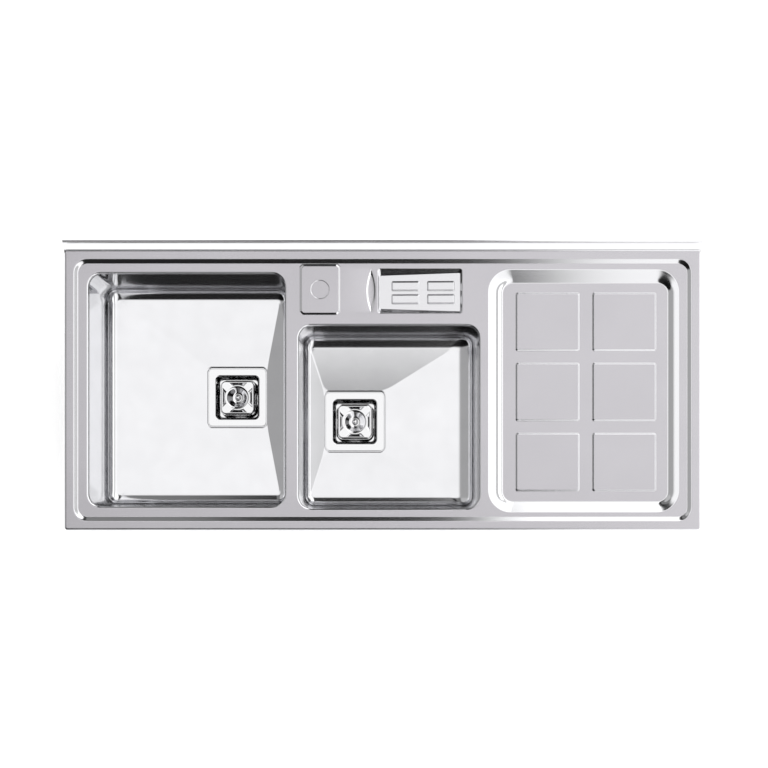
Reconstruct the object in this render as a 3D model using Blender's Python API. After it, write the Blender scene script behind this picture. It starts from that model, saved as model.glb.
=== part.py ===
"""Lay-on stainless kitchen sink: two bowls, a tap landing, a soap tray and a drainboard with raised pads.

Blender 4.5, units in metres: +X is to the right, +Y to the wall behind the sink and +Z up.
z = 0 is the top edge of the cabinet that carries the sink. The origin is the middle of the back seat
flange, so every piece hangs from the empty sink_frame, whose own origin is the middle of the deck.
"""

import math

import bmesh
import bpy
from mathutils import Matrix

# ---------------------------------------------------------------- driving dimensions

FIT = 0.0003  # gap left between pieces that touch

# Pressed top: deck, folded edges and upstand from one sheet
DECK_WIDTH = 1.180
DECK_LENGTH = 0.520  # front edge to the foot of the upstand
DECK_SHEET = 0.0008
OUTER_CORNER_R = 0.006
EDGE_R = 0.003
APRON_HEIGHT = 0.030
SEAT_FLANGE = 0.014
SEAT_BEND = 0.0015
UPSTAND_HEIGHT = 0.016
UPSTAND_LEAN = 0.010
UPSTAND_TOP = 0.006
COVE_R = 0.003

# Anti-spill step that runs round the deck
STEP_INSET = 0.0165
STEP_WIDTH = 0.009
STEP_DROP = 0.0035
STEP_CORNER_R = 0.026

# Bowls: where their mouths lie in the deck
LEFT_BOWL_MARGIN = 0.0437
LEFT_BOWL_WIDTH = 0.3651
LEFT_BOWL_FRONT = 0.0440
LEFT_BOWL_BACK = 0.0431
BOWL_GAP = 0.0251
RIGHT_BOWL_WIDTH = 0.3360
RIGHT_BOWL_FRONT = 0.0403
RIGHT_BOWL_BACK = 0.1397
MOUTH_R = 0.024
LIP_R = 0.003
LIP_DEPTH = 0.008

# Bowls: their pressed shells
BOWL_SHEET = 0.0009
LEFT_BOWL_DEPTH = 0.175
RIGHT_BOWL_DEPTH = 0.140
WALL_DRAFT = 0.005
BOTTOM_R = 0.020
FLOOR_CORNER_R = 0.009
FLOOR_FALL = 0.008
LEFT_FLOOR_INSET = (0.023, 0.022, 0.025, 0.026)  # left, right, front, back
RIGHT_FLOOR_INSET = (0.015, 0.041, 0.023, 0.028)
LEFT_DRAIN_FROM_RIGHT = 0.1073
RIGHT_DRAIN_FROM_LEFT = 0.1017

# Drainboard recess and its raised pads
DRAINER_FROM_BOWL = 0.0157
DRAINER_RIGHT = 0.0391
DRAINER_FRONT = 0.0329
DRAINER_BACK = 0.0353
DRAINER_DEPTH = 0.007
DRAINER_WALL = (0.030, 0.0214, 0.0213, 0.0264)  # left, right, front, back
DRAINER_CORNER_R = 0.042
DRAINER_FLAT_R = 0.018
PAD_COLUMNS = 2
PAD_ROWS = 3
PAD_MARGIN = (0.022, 0.020, 0.018, 0.016)  # left, right, front, back
PAD_GAP_X = 0.0234
PAD_GAP_Y = 0.0217
PAD_HEIGHT = 0.0025
PAD_SLOPE = 0.0032
PAD_CORNER_R = 0.004

# Tap landing, with the blank of a 35 mm tap hole
LANDING_FROM_BOWL_LEFT = 0.0024
LANDING_WIDTH = 0.0753
LANDING_FROM_BOWL_BACK = 0.0195
LANDING_HEIGHT = 0.0015
LANDING_SLOPE = 0.004
LANDING_CORNER = 0.006
TAP_BLANK_R = 0.0175
TAP_BLANK_DEPTH = 0.0006
TAP_BLANK_SLOPE = 0.001

# Soap tray: a recess that deepens to the left, four ribs and a lens-shaped groove at its end
TRAY_FROM_LANDING = 0.0690
TRAY_FROM_BOWL_RIGHT = 0.0313
TRAY_FROM_BOWL_BACK = 0.0223
TRAY_BACK = 0.0338
TRAY_CORNER_R = 0.005
TRAY_LEFT_DEPTH = 0.008
TRAY_RIGHT_DEPTH = 0.004
TRAY_WALL = (0.004, 0.0045, 0.009, 0.013)  # left, right, front, back, all at the deep end
TRAY_TAPER = 0.005  # how much further the walls come in at the deep end than at the shallow end
RIB_MARGIN = (0.022, 0.009, 0.009, 0.010)  # left, right, front, back
RIB_GAP_X = 0.014
RIB_GAP_Y = 0.006
RIB_HEIGHT = 0.002
RIB_SLOPE = 0.0025
GROOVE_WIDTH = 0.018
GROOVE_DEPTH = 0.0025
GROOVE_SLOPE = 0.004
GROOVE_FROM_TRAY = 0.003

# Square waste, from the bowl's drain recess downwards
FLANGE_SIZE = 0.114
FLANGE_R = 0.008
FLANGE_FRAME = 0.0145
FLANGE_SHEET = 0.001
CUP_SIZE = FLANGE_SIZE - 2 * FLANGE_FRAME
RECESS_CLEARANCE = 0.002
RECESS_SIZE = FLANGE_SIZE + 2 * RECESS_CLEARANCE
RECESS_R = FLANGE_R + RECESS_CLEARANCE
RECESS_DEPTH = 0.003
CUP_CLEARANCE = 0.0015
BOWL_HOLE = CUP_SIZE + 2 * FLANGE_SHEET + 2 * CUP_CLEARANCE
BOWL_HOLE_R = 0.011
FLANGE_LIP_R = 0.002
CUP_DEPTH = 0.034
CUP_DRAFT = 0.0012
CUP_BOTTOM_R = 0.004
CUP_HOLES = 8
CUP_HOLE_R = 0.0055
CUP_HOLE_CIRCLE_R = 0.018
GASKET_INSET = 0.001
GASKET_SIZE = FLANGE_SIZE - 2 * GASKET_INSET
FLANGE_GASKET_SETBACK = 0.0005  # from the edge of the bowl's hole
FLANGE_GASKET_INNER = BOWL_HOLE + 2 * FLANGE_GASKET_SETBACK
BODY_GASKET = 0.002
BODY_SETBACK = 0.0015  # from the edge of the bowl's hole
BODY_GASKET_INNER = BOWL_HOLE + 2 * BODY_SETBACK

BODY_WALL = 0.003
BODY_RIM = GASKET_SIZE
BODY_RIM_HEIGHT = 0.004
BODY_INNER = BODY_GASKET_INNER
BODY_CORNER_R = 0.013
BODY_DEPTH = 0.0345
BODY_SLOPE = 0.006
OUTLET_R = 0.0239  # 1 1/2 inch pipe thread, 47.8 mm across
OUTLET_WALL = 0.0039
OUTLET_LENGTH = 0.032
BOSS_R = 0.0075
BOSS_LENGTH = 0.017
SPOKE_WIDTH = 0.004
SPOKE_HEIGHT = 0.006

SCREW_R = 0.0028
SCREW_HEAD_R = 0.006
SCREW_HEAD = 0.0027
SCREW_LENGTH = 0.018
SCREW_CLEARANCE = 0.0004

NUT_R = 0.031
NUT_GROOVE = 0.0015
NUT_LUGS = 10
NUT_HEIGHT = 0.021
NUT_LIP = 0.003
NUT_LIP_R = 0.0205
WASHER_THICKNESS = 0.0034

# Strainer basket that lifts out of the waste
BASKET_CLEARANCE = 0.0095  # open channel between the basket and the cup
BASKET_SIZE = CUP_SIZE - 2 * BASKET_CLEARANCE
BASKET_R = 0.010
BASKET_SHEET = 0.0008
BASKET_BELOW_FLANGE = 0.0015
BASKET_EDGE_R = 0.0025
BASKET_SKIRT = 0.016
BASKET_DRAFT = 0.001
SLOT_LENGTH = 0.020
SLOT_WIDTH = 0.0024
SLOT_FROM_EDGE = 0.0055
SLOT_FROM_CENTRE = BASKET_SIZE / 2 - SLOT_FROM_EDGE
DISH_TO_SLOT = 0.0028
DISH_R = SLOT_FROM_CENTRE - SLOT_WIDTH / 2 - DISH_TO_SLOT
DISH_DEPTH = 0.0085
DISH_FLAT_R = 0.0075
KNOB_R = 0.004
KNOB_HEIGHT = 0.005
STEM_R = 0.0022
STEM_FOOT_R = 0.006
STEM_FOOT = 0.0025
SEAL_COVER = 0.003  # past the cup's holes
SEAL_R = CUP_HOLE_CIRCLE_R + CUP_HOLE_R + SEAL_COVER
SEAL_HEIGHT = 0.0075
SEAL_EDGE = 0.0025
SEAL_HOLLOW_R = 0.009
SEAL_HOLLOW = 0.0045

# Pieces on the underside
CHANNEL_WIDTH = 0.016
CHANNEL_HEIGHT = 0.012
CHANNEL_SHEET = 0.0012
CHANNEL_END_GAP = 0.012
DAMPING_THICKNESS = 0.002
DRAINER_DAMPING_INSET = 0.012
LEFT_DAMPING_SIZE = (0.100, 0.140)
RIGHT_DAMPING_SIZE = (0.080, 0.100)

CLIP_WIDTH = 0.020
CLIP_SHEET = 0.0015
CLIP_DROP = 0.035
CLIP_FROM_ENDS = 0.110
CLIP_END_GAP = 0.003
BOARD_THICKNESS = 0.016  # cabinet side that the clip is screwed to
CLIP_SCREW_DEPTH = 0.020
CLIP_SCREW_R = 0.0019
CLIP_SCREW_HEAD_R = 0.004
CLIP_SCREW_HEAD = 0.0022
CLIP_SCREW_LENGTH = 0.015

CORNER_STEPS = 4  # straight pieces in a quarter turn

# ---------------------------------------------------------------- places worked out from them

RIM_Z = APRON_HEIGHT
DECK_Z = RIM_Z - STEP_DROP
DRAINER_Z = DECK_Z - DRAINER_DEPTH
HALF_WIDTH = DECK_WIDTH / 2
HALF_LENGTH = DECK_LENGTH / 2
BACK_OUT = UPSTAND_LEAN + UPSTAND_TOP
SEAT_Y = HALF_LENGTH + BACK_OUT - SEAT_FLANGE / 2

LEFT_MOUTH = (
    -HALF_WIDTH + LEFT_BOWL_MARGIN,
    -HALF_WIDTH + LEFT_BOWL_MARGIN + LEFT_BOWL_WIDTH,
    -HALF_LENGTH + LEFT_BOWL_FRONT,
    HALF_LENGTH - LEFT_BOWL_BACK,
)
RIGHT_MOUTH = (
    LEFT_MOUTH[1] + BOWL_GAP,
    LEFT_MOUTH[1] + BOWL_GAP + RIGHT_BOWL_WIDTH,
    -HALF_LENGTH + RIGHT_BOWL_FRONT,
    HALF_LENGTH - RIGHT_BOWL_BACK,
)
DRAINER = (
    RIGHT_MOUTH[1] + DRAINER_FROM_BOWL,
    HALF_WIDTH - DRAINER_RIGHT,
    -HALF_LENGTH + DRAINER_FRONT,
    HALF_LENGTH - DRAINER_BACK,
)
LANDING = (
    RIGHT_MOUTH[0] + LANDING_FROM_BOWL_LEFT,
    RIGHT_MOUTH[0] + LANDING_FROM_BOWL_LEFT + LANDING_WIDTH,
    RIGHT_MOUTH[3] + LANDING_FROM_BOWL_BACK,
    HALF_LENGTH - STEP_INSET - STEP_WIDTH - 2 * FIT,
)
TRAY = (
    LANDING[1] + TRAY_FROM_LANDING,
    RIGHT_MOUTH[1] - TRAY_FROM_BOWL_RIGHT,
    RIGHT_MOUTH[3] + TRAY_FROM_BOWL_BACK,
    HALF_LENGTH - TRAY_BACK,
)
LEFT_DRAIN = (
    LEFT_MOUTH[1] - LEFT_DRAIN_FROM_RIGHT,
    (LEFT_MOUTH[2] + LEFT_MOUTH[3]) / 2,
    DECK_Z - LEFT_BOWL_DEPTH,
)
RIGHT_DRAIN = (
    RIGHT_MOUTH[0] + RIGHT_DRAIN_FROM_LEFT,
    (RIGHT_MOUTH[2] + RIGHT_MOUTH[3]) / 2,
    DECK_Z - RIGHT_BOWL_DEPTH,
)

# Heights in a waste, counted from the drain seat of its bowl
FLANGE_Z = -FIT
LEDGE_Z = -RECESS_DEPTH
FLANGE_GASKET_TOP = FLANGE_Z - FLANGE_SHEET - FIT
FLANGE_GASKET_BOTTOM = LEDGE_Z + FIT
BODY_GASKET_TOP = LEDGE_Z - BOWL_SHEET - FIT
BODY_GASKET_BOTTOM = BODY_GASKET_TOP - BODY_GASKET
BODY_TOP = BODY_GASKET_BOTTOM - FIT
CUP_FLOOR = FLANGE_Z - CUP_DEPTH
BODY_FLOOR = BODY_TOP - BODY_DEPTH
BOSS_TOP = CUP_FLOOR - FLANGE_SHEET - FIT
OUTLET_TOP = BODY_FLOOR - BODY_SLOPE
OUTLET_END = OUTLET_TOP - OUTLET_LENGTH
BASKET_TOP = FLANGE_Z - BASKET_BELOW_FLANGE
DISH_BOTTOM = BASKET_TOP - DISH_DEPTH


# ---------------------------------------------------------------- helpers


def inset(box, margins):
    """The box (x0, x1, y0, y1) with its left, right, front and back sides moved in."""
    left, right, front, back = margins
    return (box[0] + left, box[1] - right, box[2] + front, box[3] - back)


def scaled(margins, share):
    return tuple(margin * share for margin in margins)


def square(size):
    return (-size / 2, size / 2, -size / 2, size / 2)


def rounded_box(box, radius, z, steps=CORNER_STEPS):
    """Points, anticlockwise from above, of a rectangle with round corners."""
    x0, x1, y0, y1 = box
    centres = (
        (x1 - radius, y0 + radius),
        (x1 - radius, y1 - radius),
        (x0 + radius, y1 - radius),
        (x0 + radius, y0 + radius),
    )
    points = []
    for corner, (x, y) in enumerate(centres):
        for step in range(steps + 1):
            angle = math.pi / 2 * (corner - 1 + step / steps)
            points.append((x + radius * math.cos(angle), y + radius * math.sin(angle), z))
    return points


def circle(radius, z, centre=(0.0, 0.0), steps=CORNER_STEPS):
    """A ring with as many points as a rounded box, so that the two can be joined."""
    count = 4 * (steps + 1)
    angles = [2 * math.pi * (n + 0.5) / count - math.pi / 2 for n in range(count)]
    return [
        (centre[0] + radius * math.cos(a), centre[1] + radius * math.sin(a), z)
        for a in angles
    ]


def lens(box, z, steps=8):
    """Two arcs that meet in points at the front and back of the box."""
    x0, x1, y0, y1 = box
    middle = ((x0 + x1) / 2, (y0 + y1) / 2)
    half = ((x1 - x0) / 2, (y1 - y0) / 2)
    points = []
    for side in (1, -1):
        for step in range(steps):
            along = side * (2 * step / steps - 1)
            points.append((middle[0] + side * half[0] * (1 - along**2), middle[1] + half[1] * along, z))
    return points


def add_ring(mesh, points):
    return [mesh.verts.new(point) for point in points]


def join_rings(mesh, outer, inner):
    """Faces between two rings. They face up where outer lies round inner, outwards where it lies below."""
    for n in range(len(outer)):
        after = (n + 1) % len(outer)
        mesh.faces.new((outer[n], outer[after], inner[after], inner[n]))


def join_chain(mesh, rings):
    """Joins rings that follow each other inwards or down into a recess."""
    for outer, inner in zip(rings, rings[1:]):
        join_rings(mesh, outer, inner)


def fill_between(mesh, rings, normal=(0, 0, 1)):
    """Fills the flat area inside the first ring and outside the others."""
    edges = []
    for ring in rings:
        for n in range(len(ring)):
            pair = (ring[n], ring[(n + 1) % len(ring)])
            edges.append(mesh.edges.get(pair) or mesh.edges.new(pair))
    bmesh.ops.triangle_fill(mesh, use_beauty=True, use_dissolve=False, edges=edges, normal=normal)


def make_material(name, colour, metallic, roughness):
    material = bpy.data.materials.new(name)
    material.use_nodes = True
    shader = material.node_tree.nodes["Principled BSDF"]
    shader.inputs["Base Color"].default_value = (*colour, 1.0)
    shader.inputs["Metallic"].default_value = metallic
    shader.inputs["Roughness"].default_value = roughness
    return material


def make_object(name, mesh, material, parent):
    """Turns a bmesh into a named object, with round faces shaded smooth."""
    data = bpy.data.meshes.new(name)
    mesh.to_mesh(data)
    mesh.free()
    data.shade_smooth()
    data.set_sharp_from_angle(angle=math.radians(30))
    data.materials.append(material)
    obj = bpy.data.objects.new(name, data)
    obj.parent = parent
    bpy.context.scene.collection.objects.link(obj)
    return obj


def thicken(obj, thickness):
    """Gives a sheet its thickness, on the side that its faces point away from."""
    modifier = obj.modifiers.new("Sheet", "SOLIDIFY")
    modifier.thickness = thickness
    modifier.offset = -1
    modifier.use_even_offset = True
    modifier.use_quality_normals = True


def make_turned(name, rings, material, parent, hollow=False):
    """A solid from rings listed down its outside. A hollow one comes back up inside, to where it began."""
    mesh = bmesh.new()
    made = [add_ring(mesh, points) for points in rings]
    for upper, lower in zip(made, made[1:]):
        join_rings(mesh, lower, upper)
    if hollow:
        join_rings(mesh, made[0], made[-1])
    else:
        mesh.faces.new(made[0])
        mesh.faces.new(list(reversed(made[-1])))
    return make_object(name, mesh, material, parent)


def make_ring_plate(name, outer, inner, radius, top, bottom, material, parent):
    """A flat square ring, such as a gasket."""
    inner_radius = max(radius - (outer - inner) / 2, 0.004)
    rings = (
        rounded_box(square(outer), radius, top),
        rounded_box(square(outer), radius, bottom),
        rounded_box(square(inner), inner_radius, bottom),
        rounded_box(square(inner), inner_radius, top),
    )
    return make_turned(name, rings, material, parent, hollow=True)


def make_prism(name, outline, low, high, material, parent):
    """Extrudes an outline of (x, z) points, anticlockwise from the front, along Y."""
    mesh = bmesh.new()
    front = [mesh.verts.new((x, low, z)) for x, z in outline]
    back = [mesh.verts.new((x, high, z)) for x, z in outline]
    mesh.faces.new(front)
    mesh.faces.new(list(reversed(back)))
    for n in range(len(outline)):
        after = (n + 1) % len(outline)
        mesh.faces.new((front[after], front[n], back[n], back[after]))
    bmesh.ops.recalc_face_normals(mesh, faces=mesh.faces)
    return make_object(name, mesh, material, parent)


def make_block(name, size, middle, material, parent):
    mesh = bmesh.new()
    place = Matrix.Translation(middle) @ Matrix.Diagonal((*size, 1))
    bmesh.ops.create_cube(mesh, size=1, matrix=place)
    return make_object(name, mesh, material, parent)


def make_empty(name, location, parent=None):
    empty = bpy.data.objects.new(name, None)
    empty.location = location
    empty.parent = parent
    bpy.context.scene.collection.objects.link(empty)
    return empty


def use_boolean(obj, tool, operation):
    """Joins or cuts obj with tool, which then stays as a hidden helper."""
    modifier = obj.modifiers.new(operation.title(), "BOOLEAN")
    modifier.operation = operation
    modifier.object = tool
    modifier.solver = "EXACT"
    tool.hide_render = True
    tool.display_type = "WIRE"


# ---------------------------------------------------------------- pressed top


def edge_ring(mesh, side_out, side_z, back_out, back_z):
    """A ring round the top's folded edges: along front and sides at one height, along the back at another."""
    radius = max(OUTER_CORNER_R + side_out, EDGE_R / 2)
    x = HALF_WIDTH + side_out
    y = -HALF_LENGTH - side_out
    side_end = HALF_LENGTH - 2 * COVE_R
    right = rounded_box((0, x, y, y + 3 * radius), radius, side_z, 2)[:3]
    left = [(-px, py, pz) for px, py, pz in reversed(right)]
    back = [
        (x, side_end, side_z),
        (x, HALF_LENGTH + back_out, back_z),
        (-x, HALF_LENGTH + back_out, back_z),
        (-x, side_end, side_z),
    ]
    return add_ring(mesh, right + back + left)


def add_folded_edges(mesh):
    """Apron, return flange and hollow upstand. Gives back the ring at the rim."""
    slant = math.sqrt(0.5)
    apron_top = RIM_Z - EDGE_R
    wall = [apron_top + (SEAT_BEND - apron_top) * n / 4 for n in range(5)]
    top = RIM_Z + UPSTAND_HEIGHT
    side = [(-EDGE_R, RIM_Z), (-EDGE_R * (1 - slant), apron_top + EDGE_R * slant)]
    side += [(0.0, z) for z in wall]
    side += [(-SEAT_BEND, 0.0), (-SEAT_FLANGE, 0.0)]
    back = [
        (-COVE_R, RIM_Z),
        (-COVE_R * (1 - slant), RIM_Z + COVE_R * (1 - slant)),
        (0.0, RIM_Z + COVE_R),
        (UPSTAND_LEAN, top - UPSTAND_TOP / 2),
        (UPSTAND_LEAN + UPSTAND_TOP / 2, top),
        (BACK_OUT, top - UPSTAND_TOP / 2),
        (BACK_OUT, SEAT_BEND),
        (BACK_OUT - SEAT_BEND, 0.0),
        (BACK_OUT - SEAT_FLANGE, 0.0),
    ]
    rings = [edge_ring(mesh, *s, *b) for s, b in zip(side, back)]
    right_end = (3, 4)  # places in a ring of the last point of the right side and the first of the back
    left_end = (5, 6)
    closed_from, closed_to = 2, 6  # rings whose ends one flat face closes
    for number, (inner, outer) in enumerate(zip(rings, rings[1:])):
        for n in range(len(inner)):
            if closed_from <= number < closed_to and n in (right_end[0], left_end[0]):
                continue
            after = (n + 1) % len(inner)
            mesh.faces.new((outer[n], outer[after], inner[after], inner[n]))
    ends = rings[closed_from : closed_to + 1]
    for first, second in (right_end, left_end):
        loop = [ring[first] for ring in reversed(ends)] + [ring[second] for ring in ends]
        mesh.faces.new(list(reversed(loop)))
    return rings[0]


def mouth_rings(mesh, mouth):
    """The deck's opening for a bowl: a small radius, then a lip that the bowl is welded to."""
    slant = math.sqrt(0.5)
    stages = (
        (LIP_R, 0.0),
        (LIP_R * (1 - slant), LIP_R * (1 - slant)),
        (0.0, LIP_R),
        (-WALL_DRAFT * LIP_DEPTH / LEFT_BOWL_DEPTH, LIP_DEPTH),
    )
    rings = [
        add_ring(mesh, rounded_box(inset(mouth, [-out] * 4), MOUTH_R + out, DECK_Z - drop))
        for out, drop in stages
    ]
    join_chain(mesh, rings)
    return rings[0]


def grid_boxes(area, columns, rows, gap_x, gap_y):
    """Equal boxes that fill an area, with gaps between them."""
    width = (area[1] - area[0] - gap_x * (columns - 1)) / columns
    length = (area[3] - area[2] - gap_y * (rows - 1)) / rows
    boxes = []
    for column in range(columns):
        x = area[0] + column * (width + gap_x)
        for row in range(rows):
            y = area[2] + row * (length + gap_y)
            boxes.append((x, x + width, y, y + length))
    return boxes


DRAINER_FLAT = inset(DRAINER, DRAINER_WALL)
PADS = grid_boxes(inset(DRAINER_FLAT, PAD_MARGIN), PAD_COLUMNS, PAD_ROWS, PAD_GAP_X, PAD_GAP_Y)


def add_drainer(mesh):
    """The recess with its soft wide walls, and the raised pads. Gives back the ring at the deck."""
    profile = ((0.0, 0.0), (0.1, 0.05), (0.62, 0.45), (0.85, 0.92), (1.0, 1.0))
    rings = []
    for along, down in profile:
        box = inset(DRAINER, scaled(DRAINER_WALL, along))
        radius = DRAINER_CORNER_R + (DRAINER_FLAT_R - DRAINER_CORNER_R) * along
        rings.append(add_ring(mesh, rounded_box(box, radius, DECK_Z - DRAINER_DEPTH * down)))
    join_chain(mesh, rings)
    feet = []
    for pad in PADS:
        foot = add_ring(mesh, rounded_box(pad, PAD_CORNER_R, DRAINER_Z, 1))
        top_box = inset(pad, [PAD_SLOPE] * 4)
        top = add_ring(mesh, rounded_box(top_box, PAD_CORNER_R / 4, DRAINER_Z + PAD_HEIGHT, 1))
        join_rings(mesh, foot, top)
        mesh.faces.new(top)
        feet.append(foot)
    fill_between(mesh, [rings[-1], *feet])
    return rings[0]


def add_landing(mesh):
    """The raised tap landing with the shallow blank of its hole. Gives back the ring at the deck."""
    foot = add_ring(mesh, rounded_box(LANDING, LANDING_CORNER, DECK_Z, 1))
    top_box = inset(LANDING, [LANDING_SLOPE] * 4)
    top_z = DECK_Z + LANDING_HEIGHT
    top = add_ring(mesh, rounded_box(top_box, LANDING_CORNER / 2, top_z, 1))
    join_rings(mesh, foot, top)
    middle = ((LANDING[0] + LANDING[1]) / 2, (LANDING[2] + LANDING[3]) / 2)
    edge = add_ring(mesh, circle(TAP_BLANK_R, top_z, middle))
    blank = add_ring(mesh, circle(TAP_BLANK_R - TAP_BLANK_SLOPE, top_z - TAP_BLANK_DEPTH, middle))
    join_rings(mesh, edge, blank)
    mesh.faces.new(blank)
    fill_between(mesh, [top, edge])
    return foot


def tray_floor_z(x):
    """The tray falls evenly from its right end to its left end."""
    share = (x - TRAY[0]) / (TRAY[1] - TRAY[0])
    return DECK_Z - TRAY_LEFT_DEPTH + (TRAY_LEFT_DEPTH - TRAY_RIGHT_DEPTH) * share


def on_tray_floor(points, height):
    return [(x, y, tray_floor_z(x) + height) for x, y, _ in points]


def add_tray(mesh):
    """The soap tray and its ribs. Gives back the ring at the deck."""
    edge = add_ring(mesh, rounded_box(TRAY, TRAY_CORNER_R, DECK_Z, 2))
    floor_box = inset(TRAY, TRAY_WALL)
    middle_y = (floor_box[2] + floor_box[3]) / 2
    floor_points = []
    for x, y, z in rounded_box(floor_box, TRAY_CORNER_R / 2, 0.0, 2):
        share = (x - floor_box[0]) / (floor_box[1] - floor_box[0])
        spread = TRAY_TAPER * share * math.copysign(1, y - middle_y)
        floor_points.append((x, y + spread, z))
    floor = add_ring(mesh, on_tray_floor(floor_points, 0.0))
    join_rings(mesh, edge, floor)
    feet = []
    for rib in grid_boxes(inset(floor_box, RIB_MARGIN), 2, 2, RIB_GAP_X, RIB_GAP_Y):
        foot = add_ring(mesh, on_tray_floor(rounded_box(rib, RIB_SLOPE, 0.0, 1), 0.0))
        top_box = inset(rib, [RIB_SLOPE] * 4)
        top = add_ring(mesh, on_tray_floor(rounded_box(top_box, RIB_SLOPE / 3, 0.0, 1), RIB_HEIGHT))
        join_rings(mesh, foot, top)
        mesh.faces.new(top)
        feet.append(foot)
    fall = (TRAY_LEFT_DEPTH - TRAY_RIGHT_DEPTH) / (TRAY[1] - TRAY[0])
    fill_between(mesh, [floor, *feet], (-fall, 0, 1))
    return edge


def add_groove(mesh):
    """The lens-shaped groove at the tray's deep end. Gives back the ring at the deck."""
    right = TRAY[0] - GROOVE_FROM_TRAY
    box = (right - GROOVE_WIDTH, right, TRAY[2], TRAY[3])
    edge = add_ring(mesh, lens(box, DECK_Z))
    bottom_box = inset(box, (GROOVE_SLOPE, GROOVE_SLOPE, 3 * GROOVE_SLOPE, 3 * GROOVE_SLOPE))
    bottom = add_ring(mesh, lens(bottom_box, DECK_Z - GROOVE_DEPTH))
    join_rings(mesh, edge, bottom)
    mesh.faces.new(bottom)
    return edge


def make_sink_top(steel, parent):
    mesh = bmesh.new()
    rim = add_folded_edges(mesh)
    step_box = inset((-HALF_WIDTH, HALF_WIDTH, -HALF_LENGTH, HALF_LENGTH), [STEP_INSET] * 4)
    inner_box = inset(step_box, [STEP_WIDTH] * 4)
    step_top = add_ring(mesh, rounded_box(step_box, STEP_CORNER_R, RIM_Z))
    step_foot = add_ring(mesh, rounded_box(inner_box, STEP_CORNER_R - STEP_WIDTH, DECK_Z))
    fill_between(mesh, [rim, step_top])
    join_rings(mesh, step_top, step_foot)
    openings = [
        mouth_rings(mesh, LEFT_MOUTH),
        mouth_rings(mesh, RIGHT_MOUTH),
        add_drainer(mesh),
        add_landing(mesh),
        add_tray(mesh),
        add_groove(mesh),
    ]
    fill_between(mesh, [step_foot, *openings])
    top = make_object("sink_top", mesh, steel, parent)
    thicken(top, DECK_SHEET)


# ---------------------------------------------------------------- bowls


def make_bowl(name, mouth, depth, floor_inset, drain, steel, parent):
    """A pressed bowl: drafted walls, a rounded bottom edge and four flat falls to a square drain recess."""
    mesh = bmesh.new()
    floor_z = DECK_Z - depth + FLOOR_FALL
    top_z = DECK_Z - LIP_DEPTH - FIT
    wall_foot = floor_z + BOTTOM_R
    lip_draft = WALL_DRAFT * LIP_DEPTH / LEFT_BOWL_DEPTH
    stages = [(lip_draft, 0.0, top_z), (WALL_DRAFT, 0.0, wall_foot)]
    for step in range(1, CORNER_STEPS + 1):
        angle = math.pi / 2 * step / CORNER_STEPS
        stages.append((WALL_DRAFT, 1 - math.cos(angle), wall_foot - BOTTOM_R * math.sin(angle)))
    rings = []
    for draft, turn, z in stages:
        margins = [draft + (side - WALL_DRAFT) * turn for side in floor_inset]
        radius = MOUTH_R - draft + (FLOOR_CORNER_R - MOUTH_R + WALL_DRAFT) * turn
        rings.append(add_ring(mesh, rounded_box(inset(mouth, margins), radius, z)))
    recess = [
        (RECESS_SIZE, RECESS_R, drain[2]),
        (RECESS_SIZE - 2 * FIT, RECESS_R, drain[2] + LEDGE_Z),
        (BOWL_HOLE, BOWL_HOLE_R, drain[2] + LEDGE_Z),
    ]
    for size, radius, z in recess:
        points = rounded_box(square(size), radius, z)
        rings.append(add_ring(mesh, [(drain[0] + x, drain[1] + y, z) for x, y, z in points]))
    join_chain(mesh, rings)
    bowl = make_object(name, mesh, steel, parent)
    thicken(bowl, BOWL_SHEET)


def make_bowl_damping(name, floor_edge, drain, size, rubber, parent):
    """A damping pad under the long fall of a bowl floor, tilted with it."""
    seat_edge = drain[0] + math.copysign(RECESS_SIZE / 2, floor_edge - drain[0])
    run = floor_edge - seat_edge
    tilt = -math.atan2(FLOOR_FALL, run) if run > 0 else math.atan2(FLOOR_FALL, -run)
    below = BOWL_SHEET + FIT + DAMPING_THICKNESS / 2
    middle = (
        (floor_edge + seat_edge) / 2 - below * math.sin(tilt),
        drain[1],
        drain[2] + FLOOR_FALL / 2 - below * math.cos(tilt),
    )
    pad = make_block(name, (*size, DAMPING_THICKNESS), (0, 0, 0), rubber, parent)
    pad.location = middle
    pad.rotation_euler = (0, tilt, 0)


# ---------------------------------------------------------------- waste


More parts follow.
